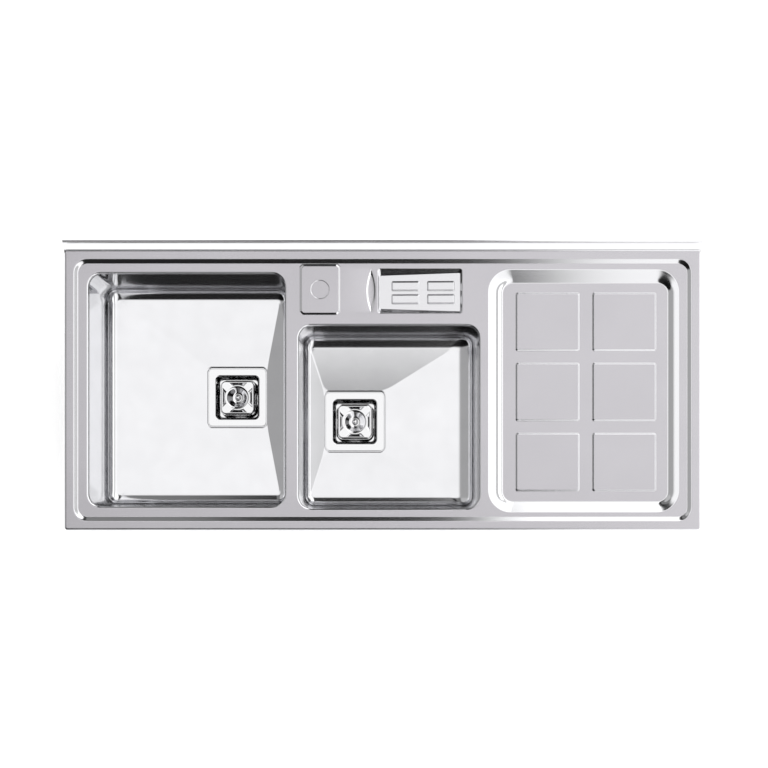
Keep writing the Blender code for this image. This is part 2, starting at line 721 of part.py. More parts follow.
def make_flange(name, steel, parent):
    """Square flange with a cup below it, whose floor is perforated round the clamp screw's hole."""
    mesh = bmesh.new()
    turn = FLANGE_LIP_R * (1 - math.sqrt(0.5))
    wall_foot = CUP_FLOOR + CUP_BOTTOM_R
    stages = (
        (FLANGE_SIZE, FLANGE_R, FLANGE_Z),
        (CUP_SIZE + 2 * FLANGE_LIP_R, FLANGE_R + FLANGE_LIP_R, FLANGE_Z),
        (CUP_SIZE + 2 * turn, FLANGE_R + turn, FLANGE_Z - turn),
        (CUP_SIZE, FLANGE_R, FLANGE_Z - FLANGE_LIP_R),
        (CUP_SIZE - 2 * CUP_DRAFT, FLANGE_R, wall_foot),
        (CUP_SIZE - 2 * CUP_DRAFT - CUP_BOTTOM_R / 2, FLANGE_R, wall_foot - 0.7 * CUP_BOTTOM_R),
        (CUP_SIZE - 2 * CUP_DRAFT - 2 * CUP_BOTTOM_R, FLANGE_R, CUP_FLOOR),
    )
    rings = [add_ring(mesh, rounded_box(square(size), r, z)) for size, r, z in stages]
    join_chain(mesh, rings)
    holes = [add_ring(mesh, circle(SCREW_R + 2 * SCREW_CLEARANCE, CUP_FLOOR, steps=2))]
    for n in range(CUP_HOLES):
        angle = 2 * math.pi * n / CUP_HOLES
        centre = (CUP_HOLE_CIRCLE_R * math.cos(angle), CUP_HOLE_CIRCLE_R * math.sin(angle))
        holes.append(add_ring(mesh, circle(CUP_HOLE_R, CUP_FLOOR, centre, steps=2)))
    fill_between(mesh, [rings[-1], *holes])
    thicken(make_object(name, mesh, steel, parent), FLANGE_SHEET)


def make_waste_body(name, plastic, parent):
    """Moulded body: a square rim, a hopper and a threaded outlet with a spoked boss for the clamp screw."""
    inner = BODY_INNER
    shell = inner + 2 * BODY_WALL
    rim_radius = BODY_CORNER_R + (BODY_RIM - inner) / 2
    bore = OUTLET_R - OUTLET_WALL
    rings = (
        rounded_box(square(BODY_RIM), rim_radius, BODY_TOP),
        rounded_box(square(BODY_RIM), rim_radius, BODY_TOP - BODY_RIM_HEIGHT),
        rounded_box(square(shell), BODY_CORNER_R + BODY_WALL, BODY_TOP - BODY_RIM_HEIGHT),
        rounded_box(square(shell), BODY_CORNER_R + BODY_WALL, BODY_FLOOR),
        circle(OUTLET_R, OUTLET_TOP - BODY_WALL),
        circle(OUTLET_R, OUTLET_END),
        circle(bore, OUTLET_END),
        circle(bore, OUTLET_TOP),
        rounded_box(square(inner), BODY_CORNER_R, BODY_FLOOR + BODY_WALL / 3),
        rounded_box(square(inner), BODY_CORNER_R, BODY_TOP),
    )
    body = make_turned(name, rings, plastic, parent, hollow=True)
    boss_bottom = BOSS_TOP - BOSS_LENGTH
    boss_rings = (
        circle(BOSS_R, BOSS_TOP),
        circle(BOSS_R, boss_bottom),
        circle(SCREW_R + SCREW_CLEARANCE, boss_bottom),
        circle(SCREW_R + SCREW_CLEARANCE, BOSS_TOP),
    )
    reach = bore + OUTLET_WALL / 2
    inside_boss = (SCREW_R + BOSS_R) / 2
    spoke_z = min(boss_bottom + SPOKE_HEIGHT / 2, OUTLET_TOP - BODY_WALL)
    boss = make_turned(name + "_boss", boss_rings, plastic, parent, hollow=True)
    for n, (dx, dy) in enumerate(((1, 0), (0, 1), (-1, 0), (0, -1))):
        length = reach - inside_boss
        size = (
            length if dx else SPOKE_WIDTH,
            length if dy else SPOKE_WIDTH,
            SPOKE_HEIGHT,
        )
        middle = (dx * (reach + inside_boss) / 2, dy * (reach + inside_boss) / 2, spoke_z)
        spoke = make_block(f"{name}_spoke_{n}", size, middle, plastic, parent)
        use_boolean(boss, spoke, "UNION")
    use_boolean(body, boss, "UNION")


def make_outlet_nut(name, plastic, parent):
    """Coupling nut with finger lugs, a running fit on the outlet thread."""
    count = 4 * NUT_LUGS
    bore = OUTLET_R + FIT
    low = OUTLET_END - WASHER_THICKNESS - 2 * FIT - NUT_LIP
    high = low + NUT_HEIGHT

    def lugged(z):
        points = []
        for n in range(count):
            angle = 2 * math.pi * n / count
            radius = NUT_R if n % 4 in (0, 1) else NUT_R - NUT_GROOVE
            points.append((radius * math.cos(angle), radius * math.sin(angle), z))
        return points

    def plain(radius, z):
        angles = [2 * math.pi * n / count for n in range(count)]
        return [(radius * math.cos(a), radius * math.sin(a), z) for a in angles]

    rings = (
        lugged(high),
        lugged(low),
        plain(NUT_LIP_R, low),
        plain(NUT_LIP_R, low + NUT_LIP),
        plain(bore, low + NUT_LIP),
        plain(bore, high),
    )
    make_turned(name, rings, plastic, parent, hollow=True)


def make_outlet_washer(name, rubber, parent):
    top = OUTLET_END - FIT
    bottom = top - WASHER_THICKNESS
    outer = OUTLET_R - FIT
    inner = OUTLET_R - OUTLET_WALL
    rings = (circle(outer, top), circle(outer, bottom), circle(inner, bottom), circle(inner, top))
    make_turned(name, rings, rubber, parent, hollow=True)


def make_clamp_screw(name, steel, parent):
    head_bottom = CUP_FLOOR + FIT
    rings = (
        circle(SCREW_HEAD_R * 0.8, head_bottom + SCREW_HEAD),
        circle(SCREW_HEAD_R, head_bottom + SCREW_HEAD * 0.6),
        circle(SCREW_HEAD_R, head_bottom),
        circle(SCREW_R, head_bottom),
        circle(SCREW_R, head_bottom - SCREW_LENGTH),
    )
    make_turned(name, rings, steel, parent)


def slot_ring(centre, along_x, z):
    """A slot with round ends: two half circles."""
    points = []
    half = SLOT_LENGTH / 2 - SLOT_WIDTH / 2
    for end in (1, -1):
        for step in range(4):
            angle = math.pi * (step / 3 - 0.5) + (0 if end > 0 else math.pi)
            x = end * half + SLOT_WIDTH / 2 * math.cos(angle)
            y = SLOT_WIDTH / 2 * math.sin(angle)
            dx, dy = (x, y) if along_x else (-y, x)
            points.append((centre[0] + dx, centre[1] + dy, z))
    return points


def make_basket(name, steel, parent):
    """Square strainer cover: a turned-down skirt, a dished middle and a slot along each side."""
    mesh = bmesh.new()
    turn = BASKET_EDGE_R * (1 - math.sqrt(0.5))
    skirt_end = BASKET_TOP - BASKET_SKIRT
    flat = BASKET_SIZE - 2 * BASKET_EDGE_R
    stages = (
        (BASKET_SIZE + 2 * BASKET_DRAFT, BASKET_R, skirt_end),
        (BASKET_SIZE, BASKET_R, BASKET_TOP - BASKET_EDGE_R),
        (BASKET_SIZE - 2 * turn, BASKET_R - turn, BASKET_TOP - turn),
        (flat, BASKET_R - BASKET_EDGE_R, BASKET_TOP),
    )
    rings = [add_ring(mesh, rounded_box(square(size), r, z)) for size, r, z in stages]
    join_chain(mesh, rings)
    dish = []
    for share in (1.0, 0.8, 0.55, 0.0):
        radius = DISH_FLAT_R + (DISH_R - DISH_FLAT_R) * share
        dish.append(add_ring(mesh, circle(radius, DISH_BOTTOM + DISH_DEPTH * share**2)))
    dish.append(add_ring(mesh, circle(STEM_R + FIT, DISH_BOTTOM)))
    join_chain(mesh, dish)
    slots = []
    for n in range(4):
        angle = math.pi / 2 * n
        centre = (SLOT_FROM_CENTRE * math.cos(angle), SLOT_FROM_CENTRE * math.sin(angle))
        slots.append(add_ring(mesh, slot_ring(centre, n % 2 == 1, BASKET_TOP)))
    fill_between(mesh, [rings[-1], dish[0], *slots])
    thicken(make_object(name, mesh, steel, parent), BASKET_SHEET)


def make_basket_knob(name, steel, parent):
    """Knob, stem and foot, turned in one piece: the foot presses the seal down."""
    seat = DISH_BOTTOM + FIT
    foot = CUP_FLOOR + FIT + SEAL_HEIGHT + FIT
    rings = (
        circle(KNOB_R * 0.55, seat + KNOB_HEIGHT),
        circle(KNOB_R * 0.95, seat + KNOB_HEIGHT * 0.8),
        circle(KNOB_R, seat + KNOB_HEIGHT * 0.5),
        circle(KNOB_R * 0.8, seat),
        circle(STEM_R, seat),
        circle(STEM_R, foot + STEM_FOOT),
        circle(STEM_FOOT_R, foot + STEM_FOOT * 0.6),
        circle(STEM_FOOT_R, foot),
    )
    make_turned(name, rings, steel, parent)


def make_basket_seal(name, rubber, parent):
    """Bell-shaped rubber that covers the cup's holes, hollow over the clamp screw's head."""
    low = CUP_FLOOR + FIT
    mesh = bmesh.new()
    rings = [
        add_ring(mesh, circle(radius, z))
        for radius, z in (
            (STEM_FOOT_R, low + SEAL_HEIGHT),
            (SEAL_R * 0.6, low + SEAL_HEIGHT * 0.72),
            (SEAL_R, low + SEAL_EDGE),
            (SEAL_R, low),
            (SEAL_HOLLOW_R, low),
            (SEAL_HOLLOW_R * 0.8, low + SEAL_HOLLOW),
        )
    ]
    for upper, lower in zip(rings, rings[1:]):
        join_rings(mesh, lower, upper)
    mesh.faces.new(rings[0])
    mesh.faces.new(list(reversed(rings[-1])))
    make_object(name, mesh, rubber, parent)


def make_waste(side, drain, kinds, parent):
    """Every piece of one waste. The basket, its knob and its seal hang from the empty that lifts out."""
    place = make_empty(side + "_drain", drain, parent)
    lift = make_empty(side + "_basket_axis", (0, 0, 0), place)
    polished, rubber, plastic = kinds
    make_flange(side + "_flange", polished, place)
    make_ring_plate(
        side + "_flange_gasket",
        GASKET_SIZE,
        FLANGE_GASKET_INNER,
        FLANGE_R,
        FLANGE_GASKET_TOP,
        FLANGE_GASKET_BOTTOM,
        rubber,
        place,
    )
    make_ring_plate(
        side + "_body_gasket",
        GASKET_SIZE,
        BODY_GASKET_INNER,
        FLANGE_R,
        BODY_GASKET_TOP,
        BODY_GASKET_BOTTOM,
        rubber,
        place,
    )
    make_waste_body(side + "_waste_body", plastic, place)
    make_outlet_nut(side + "_outlet_nut", plastic, place)
    make_outlet_washer(side + "_outlet_washer", rubber, place)
    make_clamp_screw(side + "_clamp_screw", polished, place)
    make_basket(side + "_basket", polished, lift)
    make_basket_knob(side + "_basket_knob", polished, lift)
    make_basket_seal(side + "_basket_seal", rubber, lift)


# ---------------------------------------------------------------- underside


def make_channel(name, y, steel, parent):
    """Stiffening channel under the drainboard, open downwards, between two rows of pads."""
    top = DRAINER_Z - DECK_SHEET - FIT
    half = CHANNEL_WIDTH / 2
    inner = half - CHANNEL_SHEET
    bottom = top - CHANNEL_HEIGHT
    outline = (
        (-half, bottom),
        (-inner, bottom),
        (-inner, top - CHANNEL_SHEET),
        (inner, top - CHANNEL_SHEET),
        (inner, bottom),
        (half, bottom),
        (half, top),
        (-half, top),
    )
    x0 = DRAINER_FLAT[0] + CHANNEL_END_GAP
    x1 = DRAINER_FLAT[1] - CHANNEL_END_GAP
    channel = make_prism(name, outline, -x1, -x0, steel, parent)
    channel.rotation_euler = (0, 0, math.pi / 2)
    channel.location = (0, y, 0)


def make_clip(number, side, y, zinc, parent):
    """Bracket that hooks over the seat flange and is screwed to the cabinet's side."""
    hook = DECK_SHEET + FIT
    leg_out = -BOARD_THICKNESS - FIT
    leg_in = leg_out - CLIP_SHEET
    outline = (
        (leg_in, -CLIP_DROP),
        (leg_out, -CLIP_DROP),
        (leg_out, hook),
        (-CLIP_END_GAP, hook),
        (-CLIP_END_GAP, hook + CLIP_SHEET),
        (leg_in, hook + CLIP_SHEET),
    )
    clip = make_prism(f"clip_{number}", outline, -CLIP_WIDTH / 2, CLIP_WIDTH / 2, zinc, parent)
    turn = 0 if side > 0 else math.pi
    clip.location = (side * HALF_WIDTH, y, 0)
    clip.rotation_euler = (0, 0, turn)

    hole_rings = [circle(CLIP_SCREW_R + FIT, z, steps=2) for z in (0.01, -0.01)]
    hole = make_turned(f"clip_{number}_hole", hole_rings, zinc, parent)
    hole.location = (side * (HALF_WIDTH + leg_in), y, -CLIP_SCREW_DEPTH)
    hole.rotation_euler = (0, math.pi / 2, 0)
    use_boolean(clip, hole, "DIFFERENCE")

    tip = CLIP_SCREW_LENGTH
    screw_rings = (
        circle(CLIP_SCREW_HEAD_R * 0.7, CLIP_SCREW_HEAD, steps=2),
        circle(CLIP_SCREW_HEAD_R, CLIP_SCREW_HEAD * 0.5, steps=2),
        circle(CLIP_SCREW_HEAD_R, FIT, steps=2),
        circle(CLIP_SCREW_R, FIT, steps=2),
        circle(CLIP_SCREW_R, -tip * 0.75, steps=2),
        circle(CLIP_SCREW_R / 4, -tip, steps=2),
    )
    screw = make_turned(f"clip_screw_{number}", screw_rings, zinc, parent)
    screw.location = (side * (HALF_WIDTH + leg_in), y, -CLIP_SCREW_DEPTH)
    screw.rotation_euler = (0, -side * math.pi / 2, 0)


def make_underside(kinds, parent):
    zinc, rubber = kinds
    rows = PADS[:PAD_ROWS]
    for name, front, back in zip(("front", "back"), rows, rows[1:]):
        make_channel(f"drainer_channel_{name}", (front[3] + back[2]) / 2, zinc, parent)
    middle_row = PADS[PAD_ROWS // 2 :: PAD_ROWS]
    under_pad = DRAINER_Z + PAD_HEIGHT - DECK_SHEET - FIT - DAMPING_THICKNESS / 2
    for name, pad in zip(("left", "right"), middle_row):
        x0, x1, y0, y1 = inset(pad, [PAD_SLOPE + DRAINER_DAMPING_INSET] * 4)
        size = (x1 - x0, y1 - y0, DAMPING_THICKNESS)
        middle = ((x0 + x1) / 2, (y0 + y1) / 2, under_pad)
        make_block(f"drainer_damping_{name}", size, middle, rubber, parent)
    number = 0
    for side in (-1, 1):
        for y in (-HALF_LENGTH + CLIP_FROM_ENDS, HALF_LENGTH - CLIP_FROM_ENDS):
            number += 1
            make_clip(number, side, y, zinc, parent)


# ---------------------------------------------------------------- the whole sink


def main():
    for obj in list(bpy.data.objects):
        bpy.data.objects.remove(obj)
    satin = make_material("satin stainless", (0.58, 0.58, 0.60), 1.0, 0.28)
    drawn = make_material("drawn stainless", (0.62, 0.62, 0.64), 1.0, 0.18)
    polished = make_material("polished stainless", (0.72, 0.72, 0.74), 1.0, 0.06)
    zinc = make_material("zinc-plated steel", (0.55, 0.56, 0.58), 1.0, 0.42)
    rubber = make_material("black rubber", (0.02, 0.02, 0.02), 0.0, 0.7)
    plastic = make_material("grey polypropylene", (0.35, 0.35, 0.36), 0.0, 0.45)
    damping = make_material("bitumen damping pad", (0.05, 0.05, 0.05), 0.0, 0.9)

    frame = make_empty("sink_frame", (0, -SEAT_Y, 0))
    make_sink_top(satin, frame)
    make_bowl("left_bowl", LEFT_MOUTH, LEFT_BOWL_DEPTH, LEFT_FLOOR_INSET, LEFT_DRAIN, drawn, frame)
    make_bowl("right_bowl", RIGHT_MOUTH, RIGHT_BOWL_DEPTH, RIGHT_FLOOR_INSET, RIGHT_DRAIN, drawn, frame)
    left_edge = LEFT_MOUTH[0] + LEFT_FLOOR_INSET[0]
    right_edge = RIGHT_MOUTH[1] - RIGHT_FLOOR_INSET[1]
    make_bowl_damping("left_bowl_damping", left_edge, LEFT_DRAIN, LEFT_DAMPING_SIZE, damping, frame)
    make_bowl_damping("right_bowl_damping", right_edge, RIGHT_DRAIN, RIGHT_DAMPING_SIZE, damping, frame)
    for side, drain in (("left", LEFT_DRAIN), ("right", RIGHT_DRAIN)):
        make_waste(side, drain, (polished, rubber, plastic), frame)
    make_underside((zinc, damping), frame)


main()
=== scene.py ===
# %% [markdown]
# # A lay-on stainless kitchen sink
# The sink has a large and a small bowl, a tap landing, a soap tray, a drainboard and a low upstand at
# the wall. A CAD model already fixes every size and every moving part. This script loads that model as
# a frame and builds the looks around it: finer meshes, finishes, a floor, light and a camera.
# All lengths are metres, +X is to the right, +Y to the wall and +Z up.

# %% Load the frame
import math

import bmesh
import bpy
from mathutils import Matrix, Vector


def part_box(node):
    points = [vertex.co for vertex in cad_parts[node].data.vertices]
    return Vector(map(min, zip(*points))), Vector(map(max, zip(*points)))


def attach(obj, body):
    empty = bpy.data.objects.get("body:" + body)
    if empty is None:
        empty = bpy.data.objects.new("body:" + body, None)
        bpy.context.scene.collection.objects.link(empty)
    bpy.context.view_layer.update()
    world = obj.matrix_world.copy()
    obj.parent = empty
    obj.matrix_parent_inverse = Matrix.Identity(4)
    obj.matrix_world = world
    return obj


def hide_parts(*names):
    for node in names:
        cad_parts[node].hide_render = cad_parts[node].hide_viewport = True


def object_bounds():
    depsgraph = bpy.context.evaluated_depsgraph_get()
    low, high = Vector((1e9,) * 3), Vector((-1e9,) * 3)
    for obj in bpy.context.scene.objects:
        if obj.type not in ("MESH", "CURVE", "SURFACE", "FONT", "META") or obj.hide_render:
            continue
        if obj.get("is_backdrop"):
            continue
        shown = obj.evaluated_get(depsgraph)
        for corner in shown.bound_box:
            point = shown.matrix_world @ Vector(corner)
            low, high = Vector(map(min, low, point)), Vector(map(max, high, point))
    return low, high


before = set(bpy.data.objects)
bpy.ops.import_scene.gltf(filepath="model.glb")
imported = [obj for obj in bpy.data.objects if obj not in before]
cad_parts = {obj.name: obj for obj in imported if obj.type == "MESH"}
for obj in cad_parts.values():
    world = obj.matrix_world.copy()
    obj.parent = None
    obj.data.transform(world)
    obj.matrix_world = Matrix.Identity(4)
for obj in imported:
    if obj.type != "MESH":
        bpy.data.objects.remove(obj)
cad_low, cad_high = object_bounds()
print("size in mm", [round(1000 * (high - low), 1) for low, high in zip(cad_low, cad_high)])

# %% [markdown]
# ## Colours and nodes
# Finishes are given as the hex values that a paint chart or a screen shows. Blender's shaders work in
# linear light, so one function turns them over. Another small function adds a node of any kind, sets
# its own settings and fills its inputs, either with a value or with the socket that feeds them. Every
# material and every Geometry Nodes tree below is built with it. A material starts with the object's
# own coordinates and ends with its shader, so those two steps are written once as well.


# %% Colours and nodes
def linear(colour):
    """The linear RGBA of an sRGB hex colour."""
    parts = [int(colour[n : n + 2], 16) / 255 for n in (1, 3, 5)]
    return (*(p / 12.92 if p <= 0.04045 else ((p + 0.055) / 1.055) ** 2.4 for p in parts), 1.0)


def add_node(tree, kind, settings=None, inputs=None):
    """Adds a node. An input is named by its label or place, and takes a value or one or more sockets."""
    node = tree.nodes.new(kind)
    for name, value in (settings or {}).items():
        setattr(node, name, value)
    for name, value in (inputs or {}).items():
        for one in value if isinstance(value, list) else [value]:
            if isinstance(one, bpy.types.NodeSocket):
                tree.links.new(one, node.inputs[name])
            else:
                node.inputs[name].default_value = one
    return node


def new_material(name):
    """An empty material, with the object's own coordinates ready for its patterns."""
    material = bpy.data.materials.new(name)
    material.use_nodes = True
    material.node_tree.nodes.clear()
    place = add_node(material.node_tree, "ShaderNodeTexCoord").outputs["Object"]
    return material, material.node_tree, place


def finish_material(material, colour, roughness, metallic=1.0, **more):
    """Gives the material its shader and output, and hands it back."""
    tree = material.node_tree
    inputs = {"Base Color": colour, "Metallic": metallic, "Roughness": roughness, **more}
    shader = add_node(tree, "ShaderNodeBsdfPrincipled", inputs=inputs)
    add_node(tree, "ShaderNodeOutputMaterial", inputs={"Surface": shader.outputs[0]})
    print(material.name, len(tree.nodes), "nodes")
    return material


print("steel grey in linear light", [round(part, 3) for part in linear("#B5B3B7")[:3]])

# %% [markdown]
# ## Satin stainless steel, for the pressed top
# The top is 18/8 stainless sheet with a satin finish: it was run lengthwise under a fine abrasive belt.
# That leaves straight scratches a tenth of a millimetre apart, so a reflection stays bright but loses
# its edges across the grain. The scratches are too fine to show, so they are drawn 0.7 mm apart and
# 50 mm long, and kept shallow. A slow change of tone stands for wiping and handling.
# Wherever the press bent the sheet, its tools burnished the satin away, so bends and slopes are
# smoother than the level sheet, and a painted sheen makes their colour brighter as well. The mesh
# carries both as one value on every vertex.

# %% Satin stainless steel
GRAIN_ALONG = 1 / 0.050
GRAIN_ACROSS = 1 / 0.0007
SATIN_ROUGHNESS = (0.20, 0.27)
POLISHED_ROUGHNESS = 0.12


def satin_stainless():
    material, tree, place = new_material("satin stainless, belt ground")
    scale = (GRAIN_ALONG, GRAIN_ACROSS, GRAIN_ACROSS)
    along = add_node(tree, "ShaderNodeMapping", inputs={"Vector": place, "Scale": scale})
    inputs = {"Vector": along.outputs[0], "Scale": 1.0, "Detail": 3.0, "Roughness": 0.6}
    grain = add_node(tree, "ShaderNodeTexNoise", inputs=inputs).outputs["Fac"]
    inputs = {"Vector": place, "Scale": 9.0, "Detail": 4.0}
    handling = add_node(tree, "ShaderNodeTexNoise", inputs=inputs).outputs["Fac"]
    inputs = {"Factor": handling, "A": linear("#B1AFB3"), "B": linear("#B9B7BB")}
    tone = add_node(tree, "ShaderNodeMix", {"data_type": "RGBA"}, inputs).outputs["Result"]
    polish = add_node(tree, "ShaderNodeAttribute", {"attribute_name": "polish"}).outputs["Fac"]
    # Painted sheen: the colour of bends and slopes is mixed towards a brighter grey, a painted highlight.
    inputs = {"Factor": polish, "A": tone, "B": linear("#D9D9DB")}
    bright = add_node(tree, "ShaderNodeMix", {"data_type": "RGBA"}, inputs).outputs["Result"]
    inputs = {"Value": grain, "To Min": SATIN_ROUGHNESS[0], "To Max": SATIN_ROUGHNESS[1]}
    level = add_node(tree, "ShaderNodeMapRange", inputs=inputs).outputs["Result"]
    inputs = {"Factor": polish, "A": level, "B": POLISHED_ROUGHNESS}
    smooth = add_node(tree, "ShaderNodeMix", {"data_type": "FLOAT"}, inputs).outputs["Result"]
    inputs = {"Height": grain, "Strength": 0.05, "Distance": 0.0002}
    scratches = add_node(tree, "ShaderNodeBump", inputs=inputs).outputs["Normal"]
    return finish_material(material, bright, smooth, Normal=scratches)


satin = satin_stainless()

# %% [markdown]
# ## Drawn stainless steel, for the bowls
# A bowl is deep drawn from a blank in a press and then lightly polished. Drawing stretches the sheet,
# so its face has a faint, soft unevenness a few centimetres across, and the polish leaves it glossier
# than the top: the walls mirror the floor and each other.

# %% Drawn stainless steel
DRAWN_ROUGHNESS = (0.11, 0.14)


def drawn_stainless():
    material, tree, place = new_material("drawn stainless, lightly polished")
    inputs = {"Vector": place, "Scale": 22.0, "Detail": 2.0}
    stretch = add_node(tree, "ShaderNodeTexNoise", inputs=inputs).outputs["Fac"]
    inputs = {"Vector": place, "Scale": 650.0, "Detail": 3.0, "Distortion": 0.4}
    polish = add_node(tree, "ShaderNodeTexNoise", inputs=inputs).outputs["Fac"]
    inputs = {"Factor": stretch, "A": linear("#D0D0D2"), "B": linear("#DADADC")}
    tone = add_node(tree, "ShaderNodeMix", {"data_type": "RGBA"}, inputs).outputs["Result"]
    inputs = {"Value": polish, "To Min": DRAWN_ROUGHNESS[0], "To Max": DRAWN_ROUGHNESS[1]}
    gloss = add_node(tree, "ShaderNodeMapRange", inputs=inputs).outputs["Result"]
    inputs = {"Height": stretch, "Strength": 0.05, "Distance": 0.0004}
    waves = add_node(tree, "ShaderNodeBump", inputs=inputs).outputs["Normal"]
    inputs = {"Height": polish, "Strength": 0.02, "Distance": 0.0001, "Normal": waves}
    relief = add_node(tree, "ShaderNodeBump", inputs=inputs).outputs["Normal"]
    return finish_material(material, tone, gloss, Normal=relief)


drawn = drawn_stainless()

# %% [markdown]
# ## Polished stainless steel, for the wastes
# Flanges, strainers and clamp screws are stamped or turned and then buffed bright. A buffing mop
# leaves a mirror with a very faint haze that comes and goes, so only the roughness changes.

# %% Polished stainless steel
def polished_stainless():
    material, tree, place = new_material("polished stainless, mop buffed")
    inputs = {"Vector": place, "Scale": 160.0, "Detail": 4.0, "Distortion": 1.2}
    haze = add_node(tree, "ShaderNodeTexNoise", inputs=inputs).outputs["Fac"]
    inputs = {"Value": haze, "To Min": 0.05, "To Max": 0.12}
    gloss = add_node(tree, "ShaderNodeMapRange", inputs=inputs).outputs["Result"]
    return finish_material(material, linear("#D8D8D9"), gloss)


polished = polished_stainless()

# %% [markdown]
# ## Zinc-plated steel, for clips and channels
# Clips, their screws and the channels under the drainboard are mild steel with a dull silver zinc
# coat. Zinc sets in flat crystals a few millimetres wide, each with its own slight tilt and shine, and
# a Voronoi pattern has just that look.

# %% Zinc-plated steel
CRYSTALS = 1 / 0.003


def zinc_plated():
    material, tree, place = new_material("zinc-plated steel, spangled")
    inputs = {"Vector": place, "Scale": CRYSTALS, "Randomness": 1.0}
    colour = add_node(tree, "ShaderNodeTexVoronoi", inputs=inputs).outputs["Color"]
    shade = add_node(tree, "ShaderNodeSeparateColor", inputs={"Color": colour}).outputs["Red"]
    inputs = {"Factor": shade, "A": linear("#A9ADB1"), "B": linear("#C3C7CA")}
    tone = add_node(tree, "ShaderNodeMix", {"data_type": "RGBA"}, inputs).outputs["Result"]
    inputs = {"Value": shade, "To Min": 0.34, "To Max": 0.50}
    gloss = add_node(tree, "ShaderNodeMapRange", inputs=inputs).outputs["Result"]
    return finish_material(material, tone, gloss)


zinc = zinc_plated()

# %% [markdown]
# ## Rubber, polypropylene and bitumen
# Seals are moulded nitrile rubber: black, dull, with the fine speckle of the mould. The waste body and
# its nut are moulded grey polypropylene, a slightly waxy plastic with a spark-eroded texture. The
# damping pads under the sheet are bitumen with filler, matt and pebbled. All three have one thing in
# common, a colour, a roughness and a fine relief of a known size, so one function makes them from
# those.

# %% Moulded and pressed soft materials
def speckled(name, colours, roughness, grain, depth, strength, ior):
    """A non-metal whose relief has bumps as wide as grain and as high as depth, in metres."""
    material, tree, place = new_material(name)
    inputs = {"Vector": place, "Scale": 1 / grain, "Detail": 3.0, "Roughness": 0.55}
    bumps = add_node(tree, "ShaderNodeTexNoise", inputs=inputs).outputs["Fac"]
    inputs = {"Vector": place, "Scale": 35.0, "Detail": 2.0}
    clouds = add_node(tree, "ShaderNodeTexNoise", inputs=inputs).outputs["Fac"]
    inputs = {"Factor": clouds, "A": linear(colours[0]), "B": linear(colours[1])}
    tone = add_node(tree, "ShaderNodeMix", {"data_type": "RGBA"}, inputs).outputs["Result"]
    inputs = {"Value": bumps, "To Min": roughness[0], "To Max": roughness[1]}
    gloss = add_node(tree, "ShaderNodeMapRange", inputs=inputs).outputs["Result"]
    inputs = {"Height": bumps, "Strength": strength, "Distance": depth}
    relief = add_node(tree, "ShaderNodeBump", inputs=inputs).outputs["Normal"]
    return finish_material(material, tone, gloss, metallic=0.0, IOR=ior, Normal=relief)


rubber = speckled(
    "nitrile rubber, moulded", ("#161616", "#1F1F1F"), (0.55, 0.75), 0.0006, 0.00015, 0.3, 1.52
)
plastic = speckled(
    "polypropylene, moulded grey", ("#9C9D9F", "#A6A7A8"), (0.36, 0.50), 0.0008, 0.0001, 0.25, 1.49
)
bitumen = speckled(
    "bitumen, pressed with filler", ("#1B1A19", "#292725"), (0.80, 0.95), 0.0030, 0.0008, 0.7, 1.50
)


# %% [markdown]
# ## Rings, the way pressed sheet is drawn here
# A pressed part is easiest to describe as outlines at falling heights: the edge of a recess, the end
# of its radius, the foot of its wall. Each outline is one ring of points, and a band of faces joins
# one ring to the next. Two habits keep the reflections clean. A straight side gets an extra point
# close to each end, and a long straight fall gets an extra ring close to each end, so that a small
# radius keeps its curved shading to itself and never smears it over the flat beside it.

# %% Rings and bands
ARC_STEPS = 8
SUPPORT = 0.0016


def rounded(box, radius, z, steps=ARC_STEPS, support=SUPPORT):
    """Points, anticlockwise from above, of a rectangle with round corners and supported sides."""
    x0, x1, y0, y1 = box
    support = min(support, (x1 - x0 - 2 * radius) / 4, (y1 - y0 - 2 * radius) / 4)
    centres = (
        (x1 - radius, y0 + radius),
        (x1 - radius, y1 - radius),
        (x0 + radius, y1 - radius),
        (x0 + radius, y0 + radius),
    )
    points = []
    for corner, (x, y) in enumerate(centres):
        turns = [math.pi / 2 * (corner - 1 + step / steps) for step in range(steps + 1)]
        arc = [(x + radius * math.cos(turn), y + radius * math.sin(turn)) for turn in turns]
        first, last = turns[0], turns[-1]
        before = (arc[0][0] + support * math.sin(first), arc[0][1] - support * math.cos(first))
        after = (arc[-1][0] - support * math.sin(last), arc[-1][1] + support * math.cos(last))
        points += [(px, py, z) for px, py in (before, *arc, after)]
    return points


def circle(radius, z, centre=(0.0, 0.0), count=4 * (ARC_STEPS + 3)):
    """A ring with as many points as a rounded rectangle, so that the two can be joined."""
    turns = [2 * math.pi * (n + 0.5) / count - math.pi / 2 for n in range(count)]
    x, y = centre
    return [(x + radius * math.cos(turn), y + radius * math.sin(turn), z) for turn in turns]


def inset(box, margins):
    """The box (x0, x1, y0, y1) with its left, right, front and back sides moved in."""
    left, right, front, back = margins
    return (box[0] + left, box[1] - right, box[2] + front, box[3] - back)


def square(size):
    return (-size / 2, size / 2, -size / 2, size / 2)


def add_ring(mesh, points):
    return [mesh.verts.new(point) for point in points]


def join_rings(mesh, outer, inner):
    """Faces between two rings. They face up where outer lies round inner."""
    for n in range(len(outer)):
        after = (n + 1) % len(outer)
        mesh.faces.new((outer[n], outer[after], inner[after], inner[n]))


def join_chain(mesh, rings):
    for outer, inner in zip(rings, rings[1:]):
        join_rings(mesh, outer, inner)
    return rings


def supported(stages, gap=SUPPORT):
    """Stages are equal rows of numbers. A long step between two gets a stage near each of its ends."""
    done = [stages[0]]
    for first, second in zip(stages, stages[1:]):
        length = max(abs(b - a) for a, b in zip(first, second))
        if length > 4 * gap:
            for share in (gap / length, 1 - gap / length):
                done.append(tuple(a + (b - a) * share for a, b in zip(first, second)))
        done.append(second)
    return done


